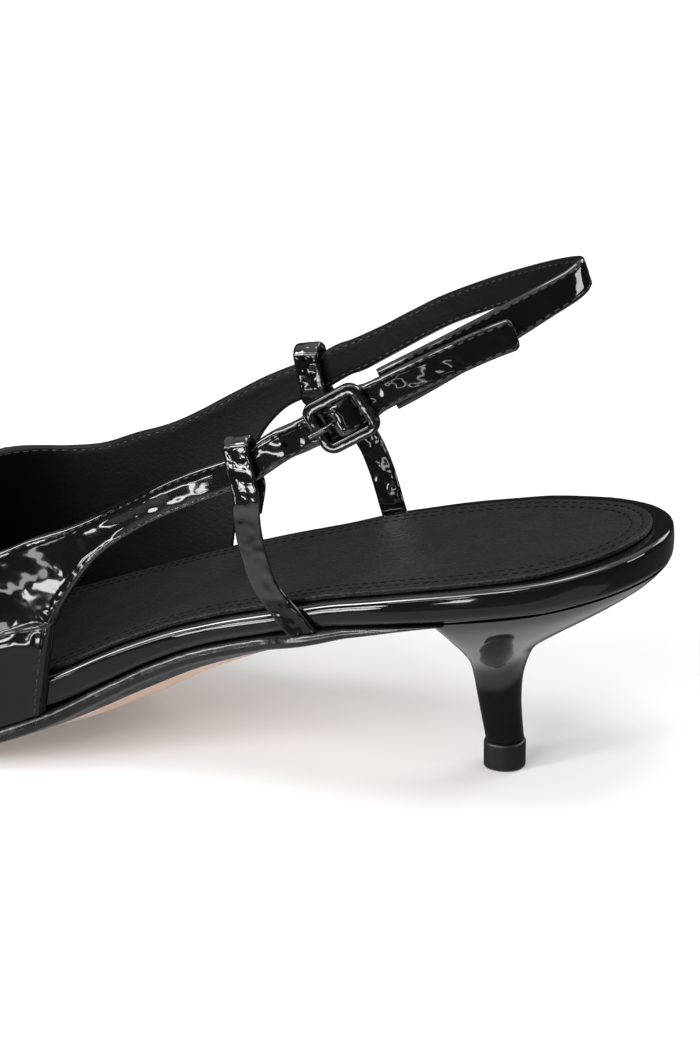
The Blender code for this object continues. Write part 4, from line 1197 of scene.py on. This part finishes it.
def make_outsole():
    """Sole with a rounded arch, its edge and a margin under it painted black."""
    rows = []
    for station in fine_stations(station_of(HEEL_FRONT - SOLE_TONGUE), 1.0, 0.0, TOE_ROUND, SOLE_STATIONS):
        reach = GAP + UPPER_WALL * column(SOLE_REACH, 1, station)
        thick = SOLE_EDGE * column(PROFILE, 3, station)
        sides = rolled_side(reach, sole_bottom, feather, SOLE_ROLL[0] * thick, SOLE_ROLL[1] * thick)
        rows.append(fine_section(station, sides, ARCH_CAMBER * column(PROFILE, 5, station), sole_swell))
    bm = bmesh.new()
    verts = closed_grid(bm, rows)
    side_points = len(rows[0]) - 2 * (ACROSS - 1)
    first_bare = side_points + ACROSS + NEAR - 2
    last_bare = side_points + 2 * (ACROSS - 1) - NEAR
    bare = {vert for row in verts for vert in row[first_bare:last_bare + 1]}
    for face in bm.faces:
        face.material_index = int(all(vert in bare for vert in face.verts))
    mesh_piece("outsole_leather", bm, ["sole_edge_paint", "sole_leather_under"], "outsole", "sole")


def make_footbed():
    """Wrapped board with rounded edges."""
    rows = []
    for station in fine_stations(0.0, 1.0, SEAT_ROUND, TOE_ROUND, BOARD_STATIONS):
        roll = min(BOARD_ROLL, BOARD_EDGE * column(PROFILE, 4, station) / 3)
        sides = rolled_side(board_reach(station), lambda x: feather(x) + GAP, board_top, roll, roll)
        rows.append(fine_section(station, sides))
    ring_piece("footbed_board", rows, ["patent_board"], "footbed")


def sock_edge(station, inset):
    """Offset of a line on the sock, inside its edge."""
    back = max(0.0, 1 - station / SOCK_BACK_END)
    return -SOCK_MARGIN - (SOCK_BACK_MARGIN - SOCK_MARGIN) * back + board_reach(station) - inset


def sock_pull(station, side):
    """Offset of the sock's inner side, which leaves more of the footbed bare."""
    start = sin(pi / 2 * min(1.0, station / SOCK_FAR_START)) ** 2
    return 0.0 if side > 0 else -SOCK_FAR_MARGIN * start


def sock_top(x):
    """Height of the sock's face."""
    return board_top(x) + GAP + SOCK_THICKNESS


def make_sock():
    """Grained sock with two stitched rows inside its edge."""
    roll = 0.5 * SOCK_THICKNESS
    rows = []
    for station in fine_stations(0.0, SOCK_END, SEAT_ROUND, 0.0, SOCK_STATIONS):
        reach = sock_edge(station, 0.0)
        sides = [(reach, lambda x: board_top(x) + GAP)]
        for k in range(LOW_ROLL + 1):
            angle = pi / 2 * k / LOW_ROLL
            sides.append((reach - roll * (1 - cos(angle)),
                          lambda x, a=angle: sock_top(x) - roll * (1 - sin(a))))
        sides += [(reach - inset, lambda x, d=drop: sock_top(x) - d) for inset, drop in SOCK_ROWS]
        rows.append(fine_section(station, sides, spread=sock_pull))
    ring_piece("insole_sock_leather", rows, ["sock_leather"], "insole_sock", "sock")
    paths = []
    for inset in SOCK_STITCHES:
        for side in (1, -1):
            line = []
            for station in fine_stations(0.0, SOCK_STITCH_END, SEAT_ROUND, 0.0, SOCK_STATIONS):
                x, y = edge(station, side, sock_edge(station, inset))
                line.append((x, y + side * sock_pull(station, side), sock_top(x) - THREAD_SINK))
            paths.append((line, [(0.0, 0.0, 1.0)] * len(line)))
    stitches("sock_stitching", paths, "sock_thread")


def heel_row(share):
    """Fine closed section of the heel at a share of the way from the top piece to the seat."""
    behind, beside, before = [column(HEEL_FLARE, k, share) for k in (1, 2, 3)]
    centre = SEAT_CENTRE * HEEL_OVERHANG
    stem_back = TIP_LENGTH / 2 - TIP_FLARE
    stem_half = TIP_WIDTH / 2 - TIP_FLARE
    seat_back = HEEL_OVERHANG + centre - HEEL_INSET
    row = []
    for k in range(HEEL_FINE):
        angle = pi + 2 * pi * k / HEEL_FINE
        stem = heel_plan(angle, stem_back, stem_half, stem_back, STEM_SQUARENESS)
        seat = heel_plan(angle, seat_back, HALF_SEAT - HEEL_INSET, HEEL_FRONT - centre, SEAT_SQUARENESS)
        x = stem[0] + (seat[0] + centre - stem[0]) * (behind if cos(angle) < 0 else before)
        y = stem[1] + (seat[1] - stem[1]) * beside
        ceiling = feather(seat[0] + centre)
        row.append((x, y, TIP_HEIGHT + GAP + (ceiling - TIP_HEIGHT - GAP) * share))
    return row


def make_heel():
    """Cup under the seat, sweeping into the slim stem."""
    grid = np.array([heel_row(k / HEEL_ROWS) for k in range(HEEL_ROWS + 1)])
    ring_piece("heel_block", even_out(grid, HEEL_FAIRING), ["patent_heel"], "heel", sharp=50)


def make_top_piece():
    """Rubber tip with rounded edges."""
    turns = [pi / 2 * k / HIGH_ROLL for k in range(HIGH_ROLL + 1)]
    heights = [(TIP_ROLL - TIP_ROLL * cos(turn), TIP_ROLL * (1 - sin(turn))) for turn in turns]
    heights += [(TIP_HEIGHT - height, inset) for height, inset in heights[::-1]]
    rows = []
    for height, inset in heights:
        back = TIP_LENGTH / 2 - inset
        half = TIP_WIDTH / 2 - inset
        row = [heel_plan(pi + 2 * pi * k / HEEL_FINE, back, half, back, STEM_SQUARENESS)
               for k in range(HEEL_FINE)]
        rows.append([(x, y, height) for x, y in row])
    ring_piece("heel_tip_rubber", rows, ["tip_rubber"], "top_piece", "tip")


def strap_section(width, thickness, stitched):
    """Closed section of a strap: across, outwards, and how free the surface is to wrinkle."""
    a = width / 2
    b = thickness / 2
    roll = STRAP_ROLL * thickness
    face = []
    for inset in STRAP_INSETS:
        dip = STRAP_DIP * np.exp(-(((inset - STITCH_INSET) / STRAP_DIP_WIDTH) ** 2)) if stitched else 0.0
        face.append((a - inset, b - dip, 1.0))
    side = []
    for k in range(ROLL_STEPS + 1):
        angle = pi * k / ROLL_STEPS - pi / 2
        side.append((a - roll + roll * cos(angle), (b - STRAP_FLAT) * sin(angle), STRAP_CALM))
    half = side + face + [(0.0, b + STRAP_CROWN, 1.0)] + [(-u, v, w) for u, v, w in face[::-1]]
    return half + [(-u, -v, w) for u, v, w in half]


def strap_piece(name, node, points, hints, widths, thickness, look, stitched, wrinkle=1.0, foot=None):
    """Padded strap with rounded edges, fine wrinkles and, where it is sewn, a row along each edge."""
    directions = frames(points, hints)
    outs = np.array([out for _, _, out in directions])
    sections = [strap_section(width, thickness, stitched) for width in widths]
    calm = np.array([[w for _, _, w in section] for section in sections])
    grid = np.array([[point + across * u + out * v for u, v, _ in section]
                     for point, (_, across, out), section in zip(points, directions, sections)])
    faces = np.sign(np.sum((grid - np.array(points)[:, None]) * outs[:, None], axis=2))
    grid = grid + outs[:, None] * (faces * calm * wrinkle * waves(grid, STRAP_WAVES))[..., None]
    if foot:
        grid[0] = foot(grid[0], points)
    if not stitched:
        return ring_piece(name, grid, [look], node)

    bm = bmesh.new()
    closed_grid(bm, grid)
    bmesh.ops.recalc_face_normals(bm, faces=bm.faces)
    for face in bm.faces:
        away = face.calc_center_median() - Vector(SHOE_MIDDLE)
        level = Vector((away.x, away.y, 0.0))
        face.material_index = 0 if face.normal.dot(level) > LINED * away.length else 1
    piece = mesh_piece(name, bm, [look, "lining_leather"], node)
    paths = []
    for face in (1, -1):
        for side in (1, -1):
            line = []
            for point, (_, across, out), width in zip(points, directions, widths):
                place = across * side * (width / 2 - STITCH_INSET)
                line.append(point + place + out * face * (thickness / 2 - THREAD_SINK))
            paths.append((line, outs * face))
    stitches(f"{name}_stitching", paths, "black_thread")
    return piece


def make_sling_strap():
    """Strap from the inner keeper round the heel to its cut end."""
    points, rest = strap_line(SLING, SLING_STEPS, strap_start(-1, SLING))
    widths = [SLING_WIDTH * row[0] for row in rest]
    hints = hanging(points, [row[1] for row in rest])
    strap_piece("sling_strap_leather", "sling_strap", points, hints, widths, STRAP_THICKNESS,
                "patent_sling", True)


def punch(strap, name, middle, normal):
    """Cut a round hole through a strap."""
    mouth = Vector(middle + normal * STRAP_THICKNESS / 2)
    turn = Vector(normal).to_track_quat("Z", "Y").to_matrix().to_4x4()
    bm = bmesh.new()
    bmesh.ops.create_cone(bm, segments=HOLE_SIDES, cap_ends=True, radius1=HOLE / 2, radius2=HOLE / 2,
                          depth=1.2 * STRAP_THICKNESS, matrix=Matrix.Translation(mouth) @ turn)
    mesh = bpy.data.meshes.new(name)
    bm.to_mesh(mesh)
    bm.free()
    tool = bpy.data.objects.new(name, mesh)
    bpy.context.scene.collection.objects.link(tool)
    cut = strap.modifiers.new("hole", "BOOLEAN")
    cut.operation = "DIFFERENCE"
    cut.object = tool
    bpy.context.view_layer.update()
    evaluated = strap.evaluated_get(bpy.context.evaluated_depsgraph_get())
    cut_mesh = bpy.data.meshes.new_from_object(evaluated)
    strap.modifiers.clear()
    strap.data = cut_mesh
    bpy.data.objects.remove(tool)


def make_front_strap():
    """Strap through the buckle, with rounded corners at its free end and punched holes."""
    points, rest = strap_line(FRONT_STRAP, FRONT_STEPS, strap_start(1, FRONT_STRAP))
    hints = hanging(points, [row[0] for row in rest])
    level = [across for _, across, _ in frames(points, hints)]
    centre, along, _, out = buckle_frame()
    lifted = [point + out * strap_rise(np.dot(point - centre, along)) for point in points]
    distances = lengths(np.array(points))
    widths = []
    for point, left in zip(points, distances[-1] - distances):
        inside = max(0.0, 1 - left / TAIL_CORNER)
        place = abs(np.dot(point - centre, along)) - SPREAD_PLACE
        spread = STRAP_SPREAD * np.exp(-((place / SPREAD_LENGTH) ** 2))
        widths.append(BAND_WIDTH - 2 * TAIL_CORNER * (1 - sqrt(1 - inside**2)) + spread)
    strap = strap_piece("front_strap_leather", "front_strap", lifted, level, widths, STRAP_THICKNESS,
                        "patent_front", True, WRINKLED)
    for k, distance in enumerate(STRAP_HOLES):
        index = min(range(len(points)), key=lambda i: abs(np.dot(points[i] - centre, along) - distance))
        _, _, normal = frames(lifted, level)[index]
        punch(strap, f"hole_{k}", lifted[index], normal * (1 if normal[1] > 0 else -1))


def bar(bm, points, width, height, flat, squareness, cyclic=False):
    """Bar of superelliptic section along a line of points, flat being the direction of its height."""
    count = len(points)
    grid = []
    for k, point in enumerate(points):
        before = points[(k - 1) % count] if cyclic or k else points[0]
        after = points[(k + 1) % count] if cyclic or k < count - 1 else points[-1]
        along = unit(after - before)
        up = unit(flat - along * np.dot(flat, along))
        across = np.cross(along, up)
        row = []
        for i in range(BAR_SIDES):
            angle = 2 * pi * i / BAR_SIDES
            c = signed_power(cos(angle), 2 / squareness)
            s = signed_power(sin(angle), 2 / squareness)
            row.append(point + across * c * width / 2 + up * s * height / 2)
        grid.append(row)
    if cyclic:
        grid_faces(bm, np.array([*grid, grid[0]]), closed=True)
    else:
        closed_grid(bm, grid)


def make_buckle():
    """Rounded rectangular frame with flat faces, and its centre bar."""
    middle, along, across, out = buckle_frame()
    centre = middle + out * FRAME_LIFT
    a = BUCKLE_LENGTH / 2 - FRAME_BAR / 2
    b = BUCKLE_WIDTH / 2 - FRAME_BAR / 2
    radius = BUCKLE_CORNER - FRAME_BAR / 2
    points = []
    for turn, (sign_a, sign_b) in enumerate(((1, 1), (-1, 1), (-1, -1), (1, -1))):
        for k in range(CORNER_STEPS + 1):
            angle = pi / 2 * (turn + k / CORNER_STEPS)
            u = sign_a * (a - radius) + radius * cos(angle)
            v = sign_b * (b - radius) + radius * sin(angle)
            points.append(centre + along * u + across * v)
    bm = bmesh.new()
    bar(bm, points, FRAME_BAR, BUCKLE_BAR, out, FRAME_SQUARENESS, cyclic=True)
    level = centre - out * BAR_DROP
    ends = [level + across * b * share for share in np.linspace(-1, 1, BAR_POINTS)]
    bar(bm, ends, CENTRE_BAR, CENTRE_BAR, out, BAR_SQUARENESS)
    mesh_piece("buckle_frame", bm, ["black_enamel"], "buckle", "metal")


def make_prong():
    """Pin from the centre bar through the strap and out over the frame."""
    middle, along, _, out = buckle_frame()
    above = FRAME_LIFT + BUCKLE_BAR / 2 + GAP + PRONG / 2
    below = FRAME_LIFT - BAR_DROP - CENTRE_BAR / 2
    bend = PRONG_BEND * PRONG
    route = [
        (-PRONG_HOLE, below),
        (-PRONG_HOLE, above - 2 * bend),
        (-PRONG_HOLE - 0.3 * bend, above - bend),
        (-PRONG_HOLE - bend, above - 0.3 * bend),
        (-PRONG_HOLE - 2 * bend, above),
        (-BUCKLE_LENGTH / 2 - 0.3 * PRONG, above),
    ]
    points = through([middle + along * u + out * n for u, n in route], PRONG_STEPS)
    bm = bmesh.new()
    bar(bm, points, PRONG, PRONG, np.cross(along, out), PRONG_SQUARENESS)
    mesh_piece("buckle_pin", bm, ["black_enamel"], "buckle_prong", "metal")


def make_tab():
    """Narrow tab from the sling strap's cut end to the underside of the centre bar."""
    middle, along, across, out = buckle_frame()
    points, _ = strap_line(SLING, PART_SLING_STEPS, strap_start(-1, SLING))
    direction = unit(points[-1] - points[-2])
    end = points[-1] + direction * 1.5 * GAP
    half = TAB_THICKNESS / 2
    under_bar = FRAME_LIFT - BAR_DROP - CENTRE_BAR / 2 - GAP - half
    under_strap = -STRAP_THICKNESS / 2 - GAP - half
    near_edge = BUCKLE_LENGTH / 2 - 1.2 * BUCKLE_BAR
    route = [
        middle - along * CENTRE_BAR + out * under_bar,
        middle + out * under_bar,
        middle + along * 0.5 * near_edge + out * (0.75 * under_bar + 0.25 * under_strap),
        middle + along * near_edge + out * (under_strap - 0.2 * TAB_THICKNESS),
        end + direction * 2 * TAB_THICKNESS,
        end,
    ]
    line = through(route, TAB_STEPS)
    strap_piece("buckle_tab_leather", "buckle_tab", line, [across] * len(line), [TAB_WIDTH] * len(line),
                TAB_THICKNESS, "patent_tab", False)


def keeper_foot(section, points):
    """Bring the end of a keeper down along its leg to the sloping sole."""
    leg = points[FOOT_SPAN] - points[0]
    rise = leg / leg[2]
    for _ in range(FOOT_ROUNDS):
        section = np.array([point + rise * (feather(point[0]) + GAP - point[2]) for point in section])
    return section


def make_keeper(name, *row):
    """Folded strap from the sole's edge up and round the band."""
    line = through(keeper_line(*row), KEEPER_STEPS)
    hint = np.array([-cos(KEEPER_TILT), 0.0, sin(KEEPER_TILT)])
    strap_piece(f"{name}_leather", name, line, [hint] * len(line), [KEEPER_WIDTH] * len(line),
                KEEPER_THICKNESS, f"patent_{name}", False, WRINKLED, keeper_foot)


def set_values(node, values):
    """Set a shader node's inputs by name."""
    for socket, value in values.items():
        node.inputs[socket].default_value = value


def noise_height(tree, scale, detail):
    """Noise over the piece's own coordinates."""
    texture = tree.nodes.new("ShaderNodeTexNoise")
    set_values(texture, {"Scale": scale, "Detail": detail})
    coordinates = tree.nodes.new("ShaderNodeTexCoord")
    tree.links.new(coordinates.outputs["Object"], texture.inputs["Vector"])
    return texture.outputs["Fac"]


def make_look(name, colour, roughness, varied=None, tint=None, bumps=(), coat=0.0, specular=0.5,
              sheen=0.0):
    """Procedural material, and its shader node."""
    look = bpy.data.materials.new(name)
    look.use_nodes = True
    tree = look.node_tree
    node = tree.nodes["Principled BSDF"]
    set_values(node, {"Base Color": (*colour, 1.0), "Roughness": roughness, "Coat Weight": coat,
                      "Coat Roughness": COAT_ROUGHNESS, "Specular IOR Level": specular,
                      "Sheen Weight": sheen})
    if varied:
        scale, low, high = varied
        span = tree.nodes.new("ShaderNodeMapRange")
        set_values(span, {"From Min": VARIED_SPAN[0], "From Max": VARIED_SPAN[1],
                          "To Min": low, "To Max": high})
        tree.links.new(noise_height(tree, scale, VARIED_DETAIL), span.inputs["Value"])
        tree.links.new(span.outputs["Result"], node.inputs["Roughness"])
    if tint:
        scale, *shades = tint
        ramp = tree.nodes.new("ShaderNodeValToRGB")
        for step, place, shade in zip(ramp.color_ramp.elements, TINT_SPAN, shades):
            step.position = place
            step.color = (*shade, 1.0)
        tree.links.new(noise_height(tree, scale, TINT_DETAIL), ramp.inputs["Fac"])
        tree.links.new(ramp.outputs["Color"], node.inputs["Base Color"])
    previous = None
    for scale, distance, detail in bumps:
        bump = tree.nodes.new("ShaderNodeBump")
        set_values(bump, {"Strength": 1.0, "Distance": distance})
        tree.links.new(noise_height(tree, scale, detail), bump.inputs["Height"])
        if previous:
            tree.links.new(previous.outputs["Normal"], bump.inputs["Normal"])
        previous = bump
    if previous:
        tree.links.new(previous.outputs["Normal"], node.inputs["Normal"])
    if previous and coat:
        tree.links.new(previous.outputs["Normal"], node.inputs["Coat Normal"])
    return look, node


def patent(piece, crinkle):
    """Black patent leather: a clear hard coat over leather that crinkles by some share."""
    bumps = [(scale, height * crinkle**power, detail) for scale, height, power, detail in PATENT_BUMPS]
    return make_look(f"patent_{piece}", bumps=bumps, **PATENT)


def area(name, place, target, size, power):
    """Rectangular softbox aimed at a point."""
    data = bpy.data.lights.new(name, "AREA")
    data.shape = "RECTANGLE"
    data.size = size[0]
    data.size_y = size[1]
    data.energy = power
    lamp = bpy.data.objects.new(name, data)
    lamp.location = place
    lamp.rotation_euler = (Vector(target) - Vector(place)).to_track_quat("-Z", "Y").to_euler()
    lamp.visible_camera = False
    bpy.context.scene.collection.objects.link(lamp)


def make_floor():
    """Pale floor that glows a little."""
    bm = bmesh.new()
    bmesh.ops.create_grid(bm, x_segments=1, y_segments=1, size=FLOOR_SIZE)
    mesh = bpy.data.meshes.new("floor")
    bm.to_mesh(mesh)
    bm.free()
    floor = bpy.data.objects.new("floor", mesh)
    bpy.context.scene.collection.objects.link(floor)
    look, node = make_look("pale_floor", **FLOOR)
    set_values(node, {"Emission Color": (1.0, 1.0, 1.0, 1.0), "Emission Strength": FLOOR_GLOW})
    mesh.materials.append(look)
    floor.visible_glossy = False


def make_sky():
    """Surroundings whose brightness depends on how far up a ray goes."""
    world = bpy.data.worlds.new("studio")
    bpy.context.scene.world = world
    world.use_nodes = True
    tree = world.node_tree
    sky = tree.nodes["Background"]
    coordinates = tree.nodes.new("ShaderNodeTexCoord")
    split = tree.nodes.new("ShaderNodeSeparateXYZ")
    ramp = tree.nodes.new("ShaderNodeValToRGB")
    shift = tree.nodes.new("ShaderNodeMath")
    shift.operation = "MULTIPLY_ADD"
    shift.inputs[1].default_value = 0.5
    shift.inputs[2].default_value = 0.5
    tree.links.new(coordinates.outputs["Generated"], split.inputs["Vector"])
    tree.links.new(split.outputs["Z"], shift.inputs[0])
    tree.links.new(shift.outputs["Value"], ramp.inputs["Fac"])
    tree.links.new(ramp.outputs["Color"], sky.inputs["Color"])
    for step, place, value in zip(ramp.color_ramp.elements, (0.0, 1.0), SKY_ENDS):
        step.position = place
        step.color = (value, value, value, 1.0)
    for place, value in SKY:
        ramp.color_ramp.elements.new(place).color = (value, value, value * SKY_TINT, 1.0)


def make_camera():
    """Camera at the photograph's angle, with the heel tip at its pixel."""
    right = np.array([-cos(CAMERA_YAW), -sin(CAMERA_YAW), 0.0])
    up = np.array([sin(CAMERA_YAW) * sin(CAMERA_TILT), -cos(CAMERA_YAW) * sin(CAMERA_TILT), cos(CAMERA_TILT)])
    back = np.cross(right, up)
    scale = CAMERA_DISTANCE * SENSOR_HEIGHT / (CAMERA_LENS * PHOTO_HEIGHT)
    across = (ORIGIN_PIXEL[0] - PHOTO_WIDTH / 2) * scale
    down = (ORIGIN_PIXEL[1] - PHOTO_HEIGHT / 2) * scale
    place = back * CAMERA_DISTANCE - right * across + up * down
    data = bpy.data.cameras.new("camera")
    data.sensor_fit = "VERTICAL"
    data.sensor_height = SENSOR_HEIGHT
    data.lens = CAMERA_LENS
    data.clip_start = CLIP_START
    camera = bpy.data.objects.new("camera", data)
    camera.matrix_world = Matrix([*zip(right, up, back, place), (0.0, 0.0, 0.0, 1.0)])
    bpy.context.scene.collection.objects.link(camera)
    bpy.context.scene.camera = camera


looks = {name: make_look(name, **row)[0] for name, row in LOOKS.items()}
looks |= {f"patent_{piece}": patent(piece, crinkle)[0] for piece, crinkle in CRINKLES.items()}
make_floor()
make_sky()
for light in LIGHTS:
    area(*light)
bpy.context.scene.view_settings.view_transform = "Standard"
make_camera()
make_upper()
make_outsole()
make_footbed()
make_sock()
make_heel()
make_top_piece()
make_sling_strap()
make_front_strap()
make_buckle()
make_prong()
make_tab()
for keeper in KEEPERS:
    make_keeper(*keeper)
